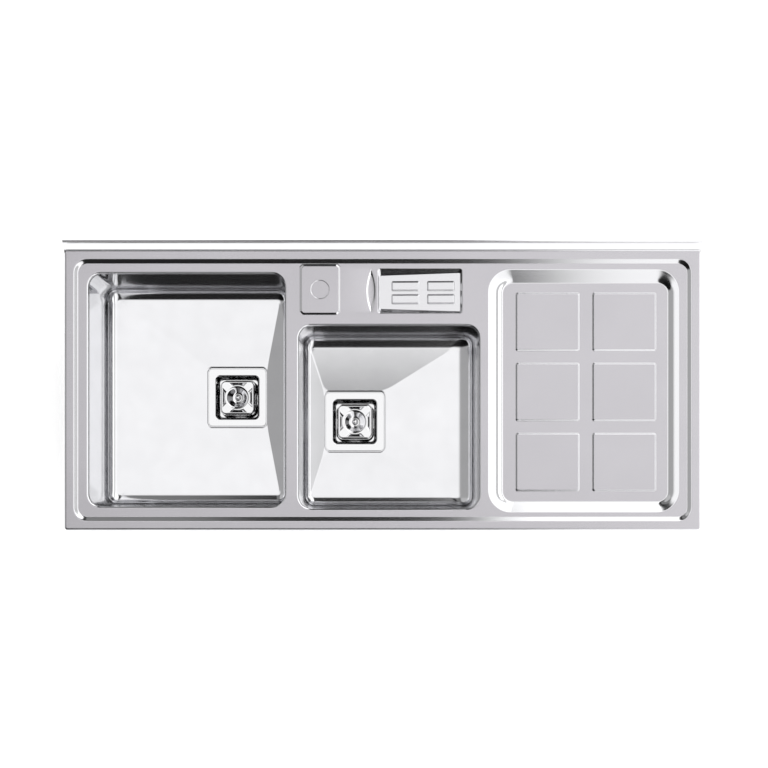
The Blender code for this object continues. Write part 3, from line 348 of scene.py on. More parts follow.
def box_rings(mesh, stages, steps=ARC_STEPS):
    """Joined rings from stages (x0, x1, y0, y1, corner radius, z)."""
    rings = [add_ring(mesh, rounded(stage[:4], stage[4], stage[5], steps)) for stage in stages]
    return join_chain(mesh, rings)


def fill_between(mesh, rings, normal=(0, 0, 1)):
    """Fills the flat area inside the first ring and outside the others."""
    edges = []
    for ring in rings:
        for n in range(len(ring)):
            pair = (ring[n], ring[(n + 1) % len(ring)])
            edges.append(mesh.edges.get(pair) or mesh.edges.new(pair))
    bmesh.ops.triangle_fill(mesh, use_beauty=True, use_dissolve=False, edges=edges, normal=normal)


def soft_step(turn, count=10):
    """Shares (along, down) of a bevel that rounds over, runs straight and rounds out again.

    turn is the share of its length that each rounding takes."""
    fall = 1 / (1 - turn)
    shares = []
    for n in range(count + 1):
        along = n / count
        if along < turn:
            down = fall * along**2 / (2 * turn)
        elif along > 1 - turn:
            down = 1 - fall * (1 - along) ** 2 / (2 * turn)
        else:
            down = fall * (along - turn / 2)
        shares.append((along, down))
    return shares


print("points in a ring", len(rounded(square(0.1), 0.01, 0.0)))

# %% [markdown]
# ## From mesh to finished piece
# Every piece ends the same way. Its mesh becomes an object at the origin, smooth except where two
# faces meet at a real edge. Sheet gets its thickness from a Solidify modifier, which is then made
# part of the mesh. The piece takes the place of its CAD node and rides on the same body, so a strainer
# lifts out with everything that belongs to it.

# %% Finish a piece
def softened(rings, bend, closed=False, steps=3):
    """Rings with every crease between them rounded over and held tight on both sides."""
    done = []
    for n, ring in enumerate(rings):
        if not closed and n in (0, len(rings) - 1):
            done.append(ring)
            continue
        rows = [[] for _ in range(steps + 3)]
        for before, here, after in zip(rings[n - 1], ring, rings[(n + 1) % len(rings)]):
            here, back, on = Vector(here), Vector(before) - Vector(here), Vector(after) - Vector(here)
            start, end = [side * min(0.4, bend / max(side.length, 1e-9)) for side in (back, on)]
            rows[0].append(here + 1.2 * start)
            rows[-1].append(here + 1.2 * end)
            for step in range(steps + 1):
                t = step / steps
                rows[step + 1].append(here + start * (1 - t) ** 2 + end * t**2)
        done += rows
    return done


def add_solid(mesh, rings, hollow=False):
    """A closed solid from rings listed down its outside. A hollow one comes back up inside."""
    made = [add_ring(mesh, points) for points in rings]
    for upper, lower in zip(made, made[1:]):
        join_rings(mesh, lower, upper)
    if hollow:
        join_rings(mesh, made[0], made[-1])
    else:
        mesh.faces.new(made[0])
        mesh.faces.new(list(reversed(made[-1])))


def to_object(name, mesh, material, edge_angle=35):
    data = bpy.data.meshes.new(name)
    mesh.to_mesh(data)
    mesh.free()
    data.shade_smooth()
    data.set_sharp_from_angle(angle=math.radians(edge_angle))
    data.materials.append(material)
    obj = bpy.data.objects.new(name, data)
    bpy.context.scene.collection.objects.link(obj)
    return obj


def apply_modifiers(obj):
    """Makes what the modifiers show the object's own plain mesh."""
    evaluated = obj.evaluated_get(bpy.context.evaluated_depsgraph_get())
    plain = bpy.data.meshes.new_from_object(evaluated)
    obj.modifiers.clear()
    obj.data = plain
    return obj


def thicken(obj, thickness):
    """Gives a sheet its thickness, on the side that its faces point away from."""
    sheet = obj.modifiers.new("Sheet", "SOLIDIFY")
    sheet.thickness = thickness
    sheet.offset = -1
    sheet.use_even_offset = True
    sheet.use_quality_normals = True
    return apply_modifiers(obj)


def finish_piece(obj, body, slot, *nodes, place=(0, 0, 0)):
    """Puts the mesh in its place, hangs it on its body and lets it stand for its CAD nodes."""
    obj.data.transform(Matrix.Translation(place))
    obj.data.update()
    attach(obj, body)
    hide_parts(*nodes)
    triangles = sum(len(face.vertices) - 2 for face in obj.data.polygons)
    print(f"{obj.name}: {triangles} triangles, stands for {', '.join(nodes)}")
    return obj


# %% [markdown]
# ## Geometry Nodes for what repeats
# Raised pads, soap ribs, strainer slots, drain holes, gussets and screws all repeat a shape by a
# rule. Each rule is a small node tree with named sizes. Its result is realised, gets its material and
# is turned into a plain mesh, because instances don't survive the export. The helper below starts a
# tree, and another runs it on an empty mesh and hands back what it made.

# %% Start and run a node tree
def new_rule(name, sizes):
    """A node tree whose inputs are named sizes, each of a kind such as Float. Gives back those too."""
    tree = bpy.data.node_groups.new(name, "GeometryNodeTree")
    tree.interface.new_socket("Mesh", in_out="OUTPUT", socket_type="NodeSocketGeometry")
    for label, kind in {**sizes, "Material": "Material"}.items():
        tree.interface.new_socket(label, in_out="INPUT", socket_type="NodeSocket" + kind)
    return tree, add_node(tree, "NodeGroupInput").outputs


def end_rule(tree, given, geometry):
    """Every tree ends alike: instances made real, then the material."""
    real = add_node(tree, "GeometryNodeRealizeInstances", inputs={"Geometry": geometry})
    inputs = {"Geometry": real.outputs[0], "Material": given["Material"]}
    finished = add_node(tree, "GeometryNodeSetMaterial", inputs=inputs)
    add_node(tree, "NodeGroupOutput", inputs={0: finished.outputs[0]})
    return tree


def turned_about_z(tree, angle):
    angles = add_node(tree, "ShaderNodeCombineXYZ", inputs={"Z": angle})
    return add_node(tree, "FunctionNodeEulerToRotation", inputs={0: angles.outputs[0]}).outputs[0]


def raised(tree, geometry, height):
    lift = add_node(tree, "ShaderNodeCombineXYZ", inputs={"Z": height})
    inputs = {"Geometry": geometry, "Translation": lift.outputs[0]}
    return add_node(tree, "GeometryNodeTransform", inputs=inputs).outputs[0]


def run_rule(name, tree, sizes):
    """Runs a tree with these sizes and gives back an object with the plain mesh that it made."""
    obj = bpy.data.objects.new(name, bpy.data.meshes.new(name))
    bpy.context.scene.collection.objects.link(obj)
    rule = obj.modifiers.new(tree.name, "NODES")
    rule.node_group = tree
    for socket in tree.interface.items_tree:
        if socket.in_out == "INPUT":
            rule[socket.identifier] = sizes[socket.name]
    apply_modifiers(obj)
    obj.data.shade_smooth()
    obj.data.set_sharp_from_angle(angle=math.radians(35))
    print(f"{name}: {len(obj.data.polygons)} faces from the rule {tree.name}")
    return obj


def take_in(mesh, obj):
    """Adds an object's mesh to a bmesh, welds what meets and removes the object."""
    mesh.from_mesh(obj.data)
    bmesh.ops.remove_doubles(mesh, verts=mesh.verts, dist=2e-5)
    bpy.data.objects.remove(obj)

# %% [markdown]
# ## The pressed top: its sizes
# One sheet, 0.8 mm thick, makes the deck, the folded front and sides, the flange that lies on the
# cabinet and the hollow upstand at the back. The overall sizes are read from the frame. The small ones,
# such as radii and bevels, are those of the tools that press such a sheet.

# %% Sizes of the pressed top
top_low, top_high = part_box("sink_top")
SHEET = 0.0008
FIT = 0.0003
UPSTAND_LEAN = 0.010
UPSTAND_TOP = 0.006
UPSTAND_HEIGHT = 0.016
COVE_R = 0.003
EDGE_R = 0.003
OUTER_CORNER_R = 0.006
SEAT_BEND = 0.0015
SEAT_FLANGE = 0.014
STEP_INSET = 0.0165
STEP_WIDTH = 0.009
STEP_DROP = 0.0035
STEP_CORNER_R = 0.026

HALF_WIDTH = (top_high.x - top_low.x) / 2
BACK_OUT = UPSTAND_LEAN + UPSTAND_TOP
FRONT_Y = top_low.y
DECK_BACK_Y = top_high.y - BACK_OUT
RIM_Z = top_high.z - UPSTAND_HEIGHT
DECK_Z = RIM_Z - STEP_DROP
DECK = (-HALF_WIDTH, HALF_WIDTH, FRONT_Y, DECK_BACK_Y)
print("deck in mm", [round(1000 * side, 1) for side in DECK], "deck height", round(1000 * DECK_Z, 1))

# %% [markdown]
# ## Folded edges and upstand
# The sheet turns down at the front and the sides in a 3 mm radius, runs down 30 mm and turns in again
# as a 14 mm flange. At the back it rises instead: a small cove, a face that leans back, a round top
# and a straight back down to the same flange. So one ring goes round the whole top at each stage, with
# one height along the front and sides and another along the back, and the two ends of the upstand are
# closed by a flat face.

# %% Folded edges and upstand
def edge_ring(mesh, side_out, side_z, back_out, back_z):
    radius = max(OUTER_CORNER_R + side_out, EDGE_R / 2)
    x, y = HALF_WIDTH + side_out, FRONT_Y - side_out
    side_end = DECK_BACK_Y - 2 * COVE_R
    right = [(x - radius - SUPPORT, y, side_z)]
    for step in range(ARC_STEPS + 1):
        turn = math.pi / 2 * (step / ARC_STEPS - 1)
        arc_x, arc_y = x - radius + radius * math.cos(turn), y + radius + radius * math.sin(turn)
        right.append((arc_x, arc_y, side_z))
    right += [(x, y + radius + SUPPORT, side_z), (x, side_end - SUPPORT, side_z)]
    left = [(-px, py, pz) for px, py, pz in reversed(right)]
    back = [
        (x, side_end, side_z),
        (x, DECK_BACK_Y + back_out, back_z),
        (x - SUPPORT, DECK_BACK_Y + back_out, back_z),
        (-x + SUPPORT, DECK_BACK_Y + back_out, back_z),
        (-x, DECK_BACK_Y + back_out, back_z),
        (-x, side_end, side_z),
    ]
    return add_ring(mesh, right + back + left), len(right)


def quarter(centre, radius, start, steps, way=1):
    """(out, z) points on a quarter circle, from an angle in quarter turns."""
    turns = [math.pi / 2 * (start + way * step / steps) for step in range(steps + 1)]
    return [(centre[0] + radius * math.cos(a), centre[1] + radius * math.sin(a)) for a in turns]


def add_folded_edges(mesh):
    """Gives back the ring at the rim."""
    top = RIM_Z + UPSTAND_HEIGHT
    lean_end = (UPSTAND_LEAN, top - UPSTAND_TOP / 2)
    cove = quarter((-COVE_R, RIM_Z + COVE_R), COVE_R, -1, 4)
    top_middle = (UPSTAND_LEAN + UPSTAND_TOP / 2, top - UPSTAND_TOP / 2)
    over = quarter(top_middle, UPSTAND_TOP / 2, 2, 4, -1)
    over += quarter(top_middle, UPSTAND_TOP / 2, 1, 4, -1)[1:]
    foot_z = RIM_Z + COVE_R
    face = [(lean_end[0] * share, foot_z + (lean_end[1] - foot_z) * share) for share in (0.04, 0.96)]
    down = [(BACK_OUT, top - UPSTAND_TOP / 2 - SUPPORT), (BACK_OUT, SEAT_BEND + SUPPORT)]
    upstand = face + over + down + [(BACK_OUT, SEAT_BEND)]
    turn_in = quarter((BACK_OUT - SEAT_BEND, SEAT_BEND), SEAT_BEND, 0, 3, -1)[1:]
    back = [(-COVE_R - SUPPORT, RIM_Z), *cove, *upstand, *turn_in]
    back += [(BACK_OUT - SEAT_BEND - SUPPORT, 0.0), (BACK_OUT - SEAT_FLANGE, 0.0)]

    edge = quarter((-EDGE_R, RIM_Z - EDGE_R), EDGE_R, 1, 4, -1)
    apron_top = RIM_Z - EDGE_R
    levels = [1 - SUPPORT / apron_top - 0.9 * n / len(upstand) for n in range(len(upstand) - 1)]
    apron = [(0.0, SEAT_BEND + (apron_top - SEAT_BEND) * level) for level in levels]
    side_turn = quarter((-SEAT_BEND, SEAT_BEND), SEAT_BEND, 0, 3, -1)[1:]
    side = [(-EDGE_R - SUPPORT, RIM_Z), *edge, *apron, (0.0, SEAT_BEND), *side_turn]
    side += [(-SEAT_BEND - SUPPORT, 0.0), (-SEAT_FLANGE, 0.0)]

    made = [edge_ring(mesh, *s, *b) for s, b in zip(side, back)]
    rings = [ring for ring, _ in made]
    count = made[0][1]
    right_end, left_end = (count, count + 1), (count + 4, count + 5)
    first, last = len(edge), len(edge) + len(upstand)
    for number, (inner, outer) in enumerate(zip(rings, rings[1:])):
        for n in range(len(inner)):
            if first <= number < last and n in (right_end[0], left_end[0]):
                continue
            after = (n + 1) % len(inner)
            mesh.faces.new((outer[n], outer[after], inner[after], inner[n]))
    ends = rings[first : last + 1]
    for near, far in (right_end, left_end):
        loop = [ring[near] for ring in reversed(ends)] + [ring[far] for ring in ends]
        mesh.faces.new(list(reversed(loop)))
    return rings[0]


# %% [markdown]
# ## Places of the bowls, drainboard, landing and tray
# The bowls' mouths come from the boxes of the CAD bowls, and the drains from the boxes of the waste
# flanges. The drainboard, the tap landing and the soap tray are set out from the mouth of the small
# bowl and the edges of the deck, as on the drawing of such a sink.

# %% Places on the deck
BOWL_SHEET = 0.0009
WALL_DRAFT = 0.005
LIP_R = 0.003
LIP_DEPTH = 0.008
LIP_DRAFT = WALL_DRAFT * LIP_DEPTH / 0.175
MOUTH_R = 0.024


def mouth_of(bowl):
    low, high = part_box(bowl)
    return inset((low.x, high.x, low.y, high.y), [BOWL_SHEET - LIP_DRAFT] * 4)


LARGE_MOUTH = mouth_of("left_bowl")
SMALL_MOUTH = mouth_of("right_bowl")
DRAINER = (SMALL_MOUTH[1] + 0.0157, HALF_WIDTH - 0.0391, FRONT_Y + 0.0329, DECK_BACK_Y - 0.0353)
DRAINER_DEPTH = 0.007
DRAINER_R = 0.042
DRAINER_FLAT_R = 0.018
DRAINER_Z = DECK_Z - DRAINER_DEPTH
DRAINER_WALL = (0.030, 0.0214, 0.0213, 0.0264)
DRAINER_FLAT = inset(DRAINER, DRAINER_WALL)
LANDING = (
    SMALL_MOUTH[0] + 0.0024,
    SMALL_MOUTH[0] + 0.0777,
    SMALL_MOUTH[3] + 0.0195,
    DECK_BACK_Y - STEP_INSET - STEP_WIDTH - 2 * FIT,
)
TRAY = (LANDING[1] + 0.0690, SMALL_MOUTH[1] - 0.0313, SMALL_MOUTH[3] + 0.0223, DECK_BACK_Y - 0.0338)
for name, box in (("large mouth", LARGE_MOUTH), ("small mouth", SMALL_MOUTH), ("drainer", DRAINER)):
    print(name, "in mm", [round(1000 * side, 1) for side in box])

# %% [markdown]
# ## Raised pads and soap ribs
# The drainboard has six low pads, two across and three deep, and the soap tray has four ribs. Each is
# pressed up from the sheet, so it is a skin with a bevel round it and no bottom. One rule sets out both:
# a grid of points, the skin on every point, and then a shear so that the ribs follow the tray's
# sloping floor. The skins are welded into the sheet below, before it gets its thickness.

# %% Grid of pressed skins
SKIN_MARGIN = 0.0008  # level sheet round a skin


def skin(name, box, radius, slope, height, steps, turn):
    """One raised skin round the origin: a flat margin, the bevel and the flat top."""
    mesh = bmesh.new()
    stages = [(*inset(box, [-SKIN_MARGIN] * 4), radius + SKIN_MARGIN, 0.0)]
    for along, up in soft_step(turn, 8):
        inner = inset(box, [slope * along] * 4)
        stages.append((*inner, max(radius - slope * along, radius / 4), height * up))
    stages.append((*inset(box, [slope + SKIN_MARGIN] * 4), radius / 4, height))
    rings = box_rings(mesh, stages, steps)
    mesh.faces.new(rings[-1])
    return to_object(name, mesh, satin)


def grid_rule():
    """A grid of skins, sheared so that it follows a floor that falls along X."""
    sizes = {"Skin": "Object", "Columns": "Int", "Rows": "Int", "Spacing X": "Float"}
    sizes.update({"Spacing Y": "Float", "Fall": "Float", "Middle": "Vector"})
    tree, given = new_rule("grid of pressed skins", sizes)
    size_of = {}
    for axis, count in (("X", "Columns"), ("Y", "Rows")):
        inputs = {0: given[count], 1: 1.0}
        gaps = add_node(tree, "ShaderNodeMath", {"operation": "SUBTRACT"}, inputs)
        inputs = {0: gaps.outputs[0], 1: given["Spacing " + axis]}
        length = add_node(tree, "ShaderNodeMath", {"operation": "MULTIPLY"}, inputs)
        size_of["Size " + axis] = length.outputs[0]
        size_of["Vertices " + axis] = given[count]
    points = add_node(tree, "GeometryNodeMeshGrid", inputs=size_of)
    one = add_node(tree, "GeometryNodeObjectInfo", inputs={"Object": given["Skin"]})
    inputs = {"Points": points.outputs["Mesh"], "Instance": one.outputs["Geometry"]}
    copies = add_node(tree, "GeometryNodeInstanceOnPoints", inputs=inputs)
    real = add_node(tree, "GeometryNodeRealizeInstances", inputs={"Geometry": copies.outputs[0]})
    spot = add_node(tree, "GeometryNodeInputPosition")
    parts = add_node(tree, "ShaderNodeSeparateXYZ", inputs={0: spot.outputs[0]})
    inputs = {0: parts.outputs["X"], 1: given["Fall"]}
    rise = add_node(tree, "ShaderNodeMath", {"operation": "MULTIPLY"}, inputs)
    shift = add_node(tree, "ShaderNodeCombineXYZ", inputs={"Z": rise.outputs[0]})
    inputs = {"Geometry": real.outputs[0], "Offset": shift.outputs[0]}
    sheared = add_node(tree, "GeometryNodeSetPosition", inputs=inputs)
    inputs = {"Geometry": sheared.outputs[0], "Translation": given["Middle"]}
    placed = add_node(tree, "GeometryNodeTransform", inputs=inputs)
    return end_rule(tree, given, placed.outputs[0])


def grid_boxes(area, columns, rows, gap_x, gap_y):
    """Equal boxes that fill an area, with gaps between them."""
    width = (area[1] - area[0] - gap_x * (columns - 1)) / columns
    length = (area[3] - area[2] - gap_y * (rows - 1)) / rows
    boxes = []
    for column in range(columns):
        x = area[0] + column * (width + gap_x)
        for row in range(rows):
            y = area[2] + row * (length + gap_y)
            boxes.append((x, x + width, y, y + length))
    return boxes


def place_skins(name, boxes, columns, rows, z, fall, shape):
    """Runs the grid rule over equal boxes. Gives back the skins and the outline of each foot."""
    width, length = boxes[0][1] - boxes[0][0], boxes[0][3] - boxes[0][2]
    radius, steps = shape[0], shape[3]
    one = skin(name + "_one", (-width / 2, width / 2, -length / 2, length / 2), *shape)
    middle_x = (boxes[0][0] + boxes[-1][1]) / 2
    middle_y = (boxes[0][2] + boxes[-1][3]) / 2
    sizes = {
        "Skin": one,
        "Columns": columns,
        "Rows": rows,
        "Spacing X": boxes[rows][0] - boxes[0][0],
        "Spacing Y": boxes[1][2] - boxes[0][2],
        "Fall": fall,
        "Middle": (middle_x, middle_y, z),
        "Material": satin,
    }
    made = run_rule(name, GRID_RULE, sizes)
    bpy.data.objects.remove(one)
    feet = []
    for box in boxes:
        outline = rounded(inset(box, [-SKIN_MARGIN] * 4), radius + SKIN_MARGIN, 0.0, steps)
        feet.append([(x, y, z + (x - middle_x) * fall) for x, y, _ in outline])
    return made, feet


GRID_RULE = grid_rule()
PADS = grid_boxes(inset(DRAINER_FLAT, (0.022, 0.020, 0.018, 0.016)), 2, 3, 0.0234, 0.0217)
PAD_SHAPE = (0.004, 0.0032, 0.0025, 4, 0.3)  # radius, slope, height, steps and turn, as skin takes them
pads, pad_feet = place_skins("pads", PADS, 2, 3, DRAINER_Z, 0.0, PAD_SHAPE)

TRAY_LEFT_DEPTH = 0.008
TRAY_RIGHT_DEPTH = 0.004
TRAY_FALL = (TRAY_LEFT_DEPTH - TRAY_RIGHT_DEPTH) / (TRAY[1] - TRAY[0])
TRAY_WALL = (0.004, 0.0045, 0.009, 0.013)
TRAY_FLOOR = inset(TRAY, TRAY_WALL)
RIBS = grid_boxes(inset(TRAY_FLOOR, (0.022, 0.009, 0.009, 0.010)), 2, 2, 0.014, 0.006)


def tray_z(x):
    return DECK_Z - TRAY_LEFT_DEPTH + TRAY_FALL * (x - TRAY[0])


ribs_z = tray_z((RIBS[0][0] + RIBS[-1][1]) / 2)
RIB_SHAPE = (0.0025, 0.0025, 0.002, 3, 0.25)
ribs, rib_feet = place_skins("ribs", RIBS, 2, 2, ribs_z, TRAY_FALL, RIB_SHAPE)

# %% [markdown]
# ## Openings and recesses of the deck
# A bowl's mouth starts with a 3 mm radius and ends in a short lip. The drainboard's walls are wide and
# soft: gentle at the top, steeper near the floor. The landing is raised 1.5 mm with a bevel and cut
# corners, and carries the shallow disc that is knocked out for a tap. The soap tray gets deeper to the
# left, where a lens-shaped groove lies beside it. Each function draws its rings from the deck inwards
# and gives back the outermost, so that the deck can be filled round all of them.

# %% Openings and recesses
def add_mouth(mesh, mouth):
    stages = [(*inset(mouth, [-LIP_R - SUPPORT] * 4), MOUTH_R + LIP_R + SUPPORT, DECK_Z)]
    for step in range(7):
        turn = math.pi / 2 * step / 6
        out, drop = LIP_R * (1 - math.sin(turn)), LIP_R * (1 - math.cos(turn))
        stages.append((*inset(mouth, [-out] * 4), MOUTH_R + out, DECK_Z - drop))
    stages.append((*inset(mouth, [LIP_DRAFT] * 4), MOUTH_R - LIP_DRAFT, DECK_Z - LIP_DEPTH))
    return box_rings(mesh, stages)[0]


def eased(knots, count):
    """A smooth fall through knots (along, down), level at both ends."""
    slopes = [0.0]
    for before, after in zip(knots, knots[2:]):
        slopes.append((after[1] - before[1]) / (after[0] - before[0]))
    slopes.append(0.0)
    shares = [knots[0]]
    for n, (first, second) in enumerate(zip(knots, knots[1:])):
        length = second[0] - first[0]
        for step in range(1, count + 1):
            t = step / count
            down = first[1] * (2 * t**3 - 3 * t**2 + 1) + second[1] * (3 * t**2 - 2 * t**3)
            down += length * (slopes[n] * (t**3 - 2 * t**2 + t) + slopes[n + 1] * (t**3 - t**2))
            shares.append((first[0] + length * t, down))
    return shares


def add_drainer(mesh):
    stages = [(*inset(DRAINER, [-SUPPORT] * 4), DRAINER_R + SUPPORT, DECK_Z)]
    for along, down in eased(DRAINER_KNOTS, 4):
        box = inset(DRAINER, [wall * along for wall in DRAINER_WALL])
        radius = DRAINER_R + (DRAINER_FLAT_R - DRAINER_R) * along
        stages.append((*box, radius, DECK_Z - DRAINER_DEPTH * down))
    stages.append((*inset(DRAINER_FLAT, [SUPPORT] * 4), DRAINER_FLAT_R - SUPPORT, DRAINER_Z))
    rings = box_rings(mesh, stages, 12)
    fill_between(mesh, [rings[-1], *(add_ring(mesh, foot) for foot in pad_feet)])
    return rings[0]


def add_landing(mesh):
    corner, slope, height = 0.006, 0.004, 0.0015
    blank, bevel, sunk, count = 0.0175, 0.0015, 0.0006, 64
    stages = [(*inset(LANDING, [-SUPPORT / 2] * 4), corner, DECK_Z)]
    for along, up in soft_step(0.15, 6):
        box = inset(LANDING, [slope * along] * 4)
        stages.append((*box, corner - 0.5 * corner * along, DECK_Z + height * up))
    stages.append((*inset(LANDING, [slope + SUPPORT / 2] * 4), corner / 2, DECK_Z + height))
    rings = box_rings(mesh, stages, 1)
    middle = ((LANDING[0] + LANDING[1]) / 2, (LANDING[2] + LANDING[3]) / 2)
    top = DECK_Z + height
    rounds = [(blank + SUPPORT / 2, top)]
    for along, down in soft_step(0.3, 5):
        rounds.append((blank - 0.001 * along, top - sunk * down))
    rounds.append((blank - bevel, top - sunk))
    disc = [add_ring(mesh, circle(radius, z, middle, count)) for radius, z in rounds]
    join_chain(mesh, disc)
    mesh.faces.new(disc[-1])
    fill_between(mesh, [rings[-1], disc[0]])
    return rings[0]


def add_tray(mesh):
    taper = 0.005
    middle_y = (TRAY_FLOOR[2] + TRAY_FLOOR[3]) / 2
    shares = [(-0.12, 0.0), *soft_step(0.2, 8), (1.12, 1.0)]
    rings = []
    for along, down in shares:
        box = inset(TRAY, [side * along for side in TRAY_WALL])
        points = []
        for x, y, _ in rounded(box, 0.005 - 0.0025 * along, 0.0, 5):
            across = (x - TRAY[0]) / (TRAY[1] - TRAY[0])
            spread = taper * across * max(along, 0.0) * math.copysign(1, y - middle_y)
            points.append((x, y + spread, DECK_Z + (tray_z(x) - DECK_Z) * down))
        rings.append(add_ring(mesh, points))
    join_chain(mesh, rings)
    feet = [add_ring(mesh, foot) for foot in rib_feet]
    fill_between(mesh, [rings[-1], *feet], (-TRAY_FALL, 0, 1))
    return rings[0]


def add_groove(mesh):
    """Two arcs that meet in points: half a lens on each side of the groove's line."""
    width, depth, slope, gap = 0.018, 0.0025, 0.004, 0.003
    middle = (TRAY[0] - gap - width / 2, (TRAY[2] + TRAY[3]) / 2)
    rings = []
    for along, down in soft_step(0.25, 6):
        half_x = width / 2 - slope * along
        half_y = (TRAY[3] - TRAY[2]) / 2 - 3 * slope * along
        points = []
        for side in (1, -1):
            for step in range(16):
                t = side * (step / 8 - 1)
                x = middle[0] + side * half_x * (1 - t**2)
                points.append((x, middle[1] + half_y * t, DECK_Z - depth * down))
        rings.append(add_ring(mesh, points))
    join_chain(mesh, rings)
    mesh.faces.new(rings[-1])
    return rings[0]


# %% [markdown]
# ## The pressed top in one piece
# The stepped rim, the mouths and the recesses are joined by flat fill, the skins are welded in, and
# the sheet gets its thickness. Last, every vertex is marked by how far its faces tilt, which the satin
# finish reads as press polish, a lower roughness, and as a painted sheen that brightens its colour.

# %% The pressed top
def mark_polish_and_sheen(obj):
    """Writes on every vertex its press polish and painted sheen: 0 on level sheet, 1 on bends and slopes."""
    least = [90.0] * len(obj.data.vertices)
    for face in obj.data.polygons:
        tilt = math.degrees(math.acos(min(1.0, abs(face.normal.z))))
        for corner in face.vertices:
            least[corner] = min(least[corner], tilt)
    polish = obj.data.attributes.new("polish", "FLOAT", "POINT")
    for tilt, value in zip(least, polish.data):
        share = min(1.0, max(0.0, (tilt - LEVEL_TILT) / (POLISH_AND_SHEEN_TILT - LEVEL_TILT)))
        value.value = share * share * (3 - 2 * share)
    return obj


LEVEL_TILT = 0.3  # degrees
POLISH_AND_SHEEN_TILT = 2.2
DRAINER_KNOTS = ((0.0, 0.0), (0.1, 0.05), (0.62, 0.45), (0.85, 0.92), (1.0, 1.0))


def make_pressed_top():
    mesh = bmesh.new()
    rim = add_folded_edges(mesh)
    step_box = inset(DECK, [STEP_INSET] * 4)
    stages = [(*inset(step_box, [-SUPPORT] * 4), STEP_CORNER_R + SUPPORT, RIM_Z)]
    for along, down in soft_step(0.25, 8):
        box = inset(step_box, [STEP_WIDTH * along] * 4)
        stages.append((*box, STEP_CORNER_R - STEP_WIDTH * along, RIM_Z - STEP_DROP * down))
    inner = inset(step_box, [STEP_WIDTH + FIT] * 4)
    stages.append((*inner, STEP_CORNER_R - STEP_WIDTH - FIT, DECK_Z))
    step = box_rings(mesh, stages)
    fill_between(mesh, [rim, step[0]])
    openings = [add_mouth(mesh, LARGE_MOUTH), add_mouth(mesh, SMALL_MOUTH), add_drainer(mesh)]
    openings += [add_landing(mesh), add_tray(mesh), add_groove(mesh)]
    fill_between(mesh, [step[-1], *openings])
    take_in(mesh, pads)
    take_in(mesh, ribs)
    return mark_polish_and_sheen(thicken(to_object("pressed_top", mesh, satin), SHEET))


finish_piece(make_pressed_top(), "sink", "satin_steel", "sink_top")

# %% [markdown]
# ## Bowls
# Each bowl is deep drawn from one blank: walls that lean out a little, a 20 mm bottom radius, and a
# floor pressed into four flat falls that meet in crisp creases and run to a square recess. The waste
# seats in that recess. The outlines shrink towards the drain, and only their corner radius changes:
# 19 mm in the wall, 2.5 mm along a crease and 10 mm again at the recess. The bowl meets the lip of the
# top, and the weld is ground flush inside, so nothing of it shows from above.

# %% Bowls
FLANGE_LOW, FLANGE_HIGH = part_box("left_flange")
FLANGE_SIZE = FLANGE_HIGH.x - FLANGE_LOW.x
CUP_SIZE = FLANGE_SIZE - 2 * 0.0145
RECESS_SIZE = FLANGE_SIZE + 2 * 0.002
RECESS_R = 0.010
RECESS_DEPTH = 0.003
RECESS_EDGE = 0.0007
BOWL_HOLE = CUP_SIZE + 2 * 0.0025
BOTTOM_R = 0.020
FLOOR_CORNER_R = 0.009
FLOOR_FALL = 0.008
CREASE_R = 0.0025


def drain_of(side):
    """Middle of a bowl's drain, at the height where the floor meets the recess."""
    low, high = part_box(side + "_flange")
    return Vector(((low.x + high.x) / 2, (low.y + high.y) / 2, high.z + FIT))


def around(middle, size):
    return tuple(part + half for part in (middle.x, middle.y) for half in (-size / 2, size / 2))


def bowl_stages(mouth, floor_inset, drain):
    foot = drain.z + FLOOR_FALL + BOTTOM_R
    stages = [(*inset(mouth, [LIP_DRAFT] * 4), MOUTH_R - LIP_DRAFT, DECK_Z - LIP_DEPTH)]
    for step in range(11):
        turn = math.pi / 2 * step / 10
        along, down = 1 - math.cos(turn), math.sin(turn)
        margins = [WALL_DRAFT + (side - WALL_DRAFT) * along for side in floor_inset]
        radius = (MOUTH_R - WALL_DRAFT) * (1 - along) + FLOOR_CORNER_R * along
        stages.append((*inset(mouth, margins), radius, foot - BOTTOM_R * down))
    floor = inset(mouth, floor_inset)
    recess = around(drain, RECESS_SIZE + 2 * RECESS_EDGE)
    for share in (0.015, 0.03, 0.05, 0.08, 0.12, 0.5, 0.86, 0.91, 0.95, 0.98, 1.0):
        box = [start + (end - start) * share for start, end in zip(floor, recess)]
        at_wall, at_drain = max(0.0, 1 - share / 0.12), max(0.0, 1 - (1 - share) / 0.14)
        radius = CREASE_R + (FLOOR_CORNER_R - CREASE_R) * at_wall**2
        radius += (RECESS_R + RECESS_EDGE - CREASE_R) * at_drain**2
        stages.append((*box, radius, drain.z + FLOOR_FALL * (1 - share)))
    for step in range(1, 4):
        turn = math.pi / 2 * step / 3
        out, drop = RECESS_EDGE * (1 - math.sin(turn)), RECESS_EDGE * (1 - math.cos(turn))
        stages.append((*around(drain, RECESS_SIZE + 2 * out), RECESS_R + out, drain.z - drop))
    ledge = drain.z - RECESS_DEPTH
    stages.append((*around(drain, RECESS_SIZE), RECESS_R, ledge + 0.0004))
    stages.append((*around(drain, RECESS_SIZE - 0.0008), RECESS_R - 0.0004, ledge))
    stages.append((*around(drain, BOWL_HOLE), 0.011, ledge))
    return stages


def make_bowl(side, mouth, floor_inset):
    mesh = bmesh.new()
    box_rings(mesh, supported(bowl_stages(mouth, floor_inset, drain_of(side))))
    shell = thicken(to_object(side + "_drawn_bowl", mesh, drawn), BOWL_SHEET)
    finish_piece(shell, "sink", "drawn_steel", side + "_bowl")


make_bowl("left", LARGE_MOUTH, (0.023, 0.022, 0.025, 0.026))
make_bowl("right", SMALL_MOUTH, (0.015, 0.041, 0.023, 0.028))

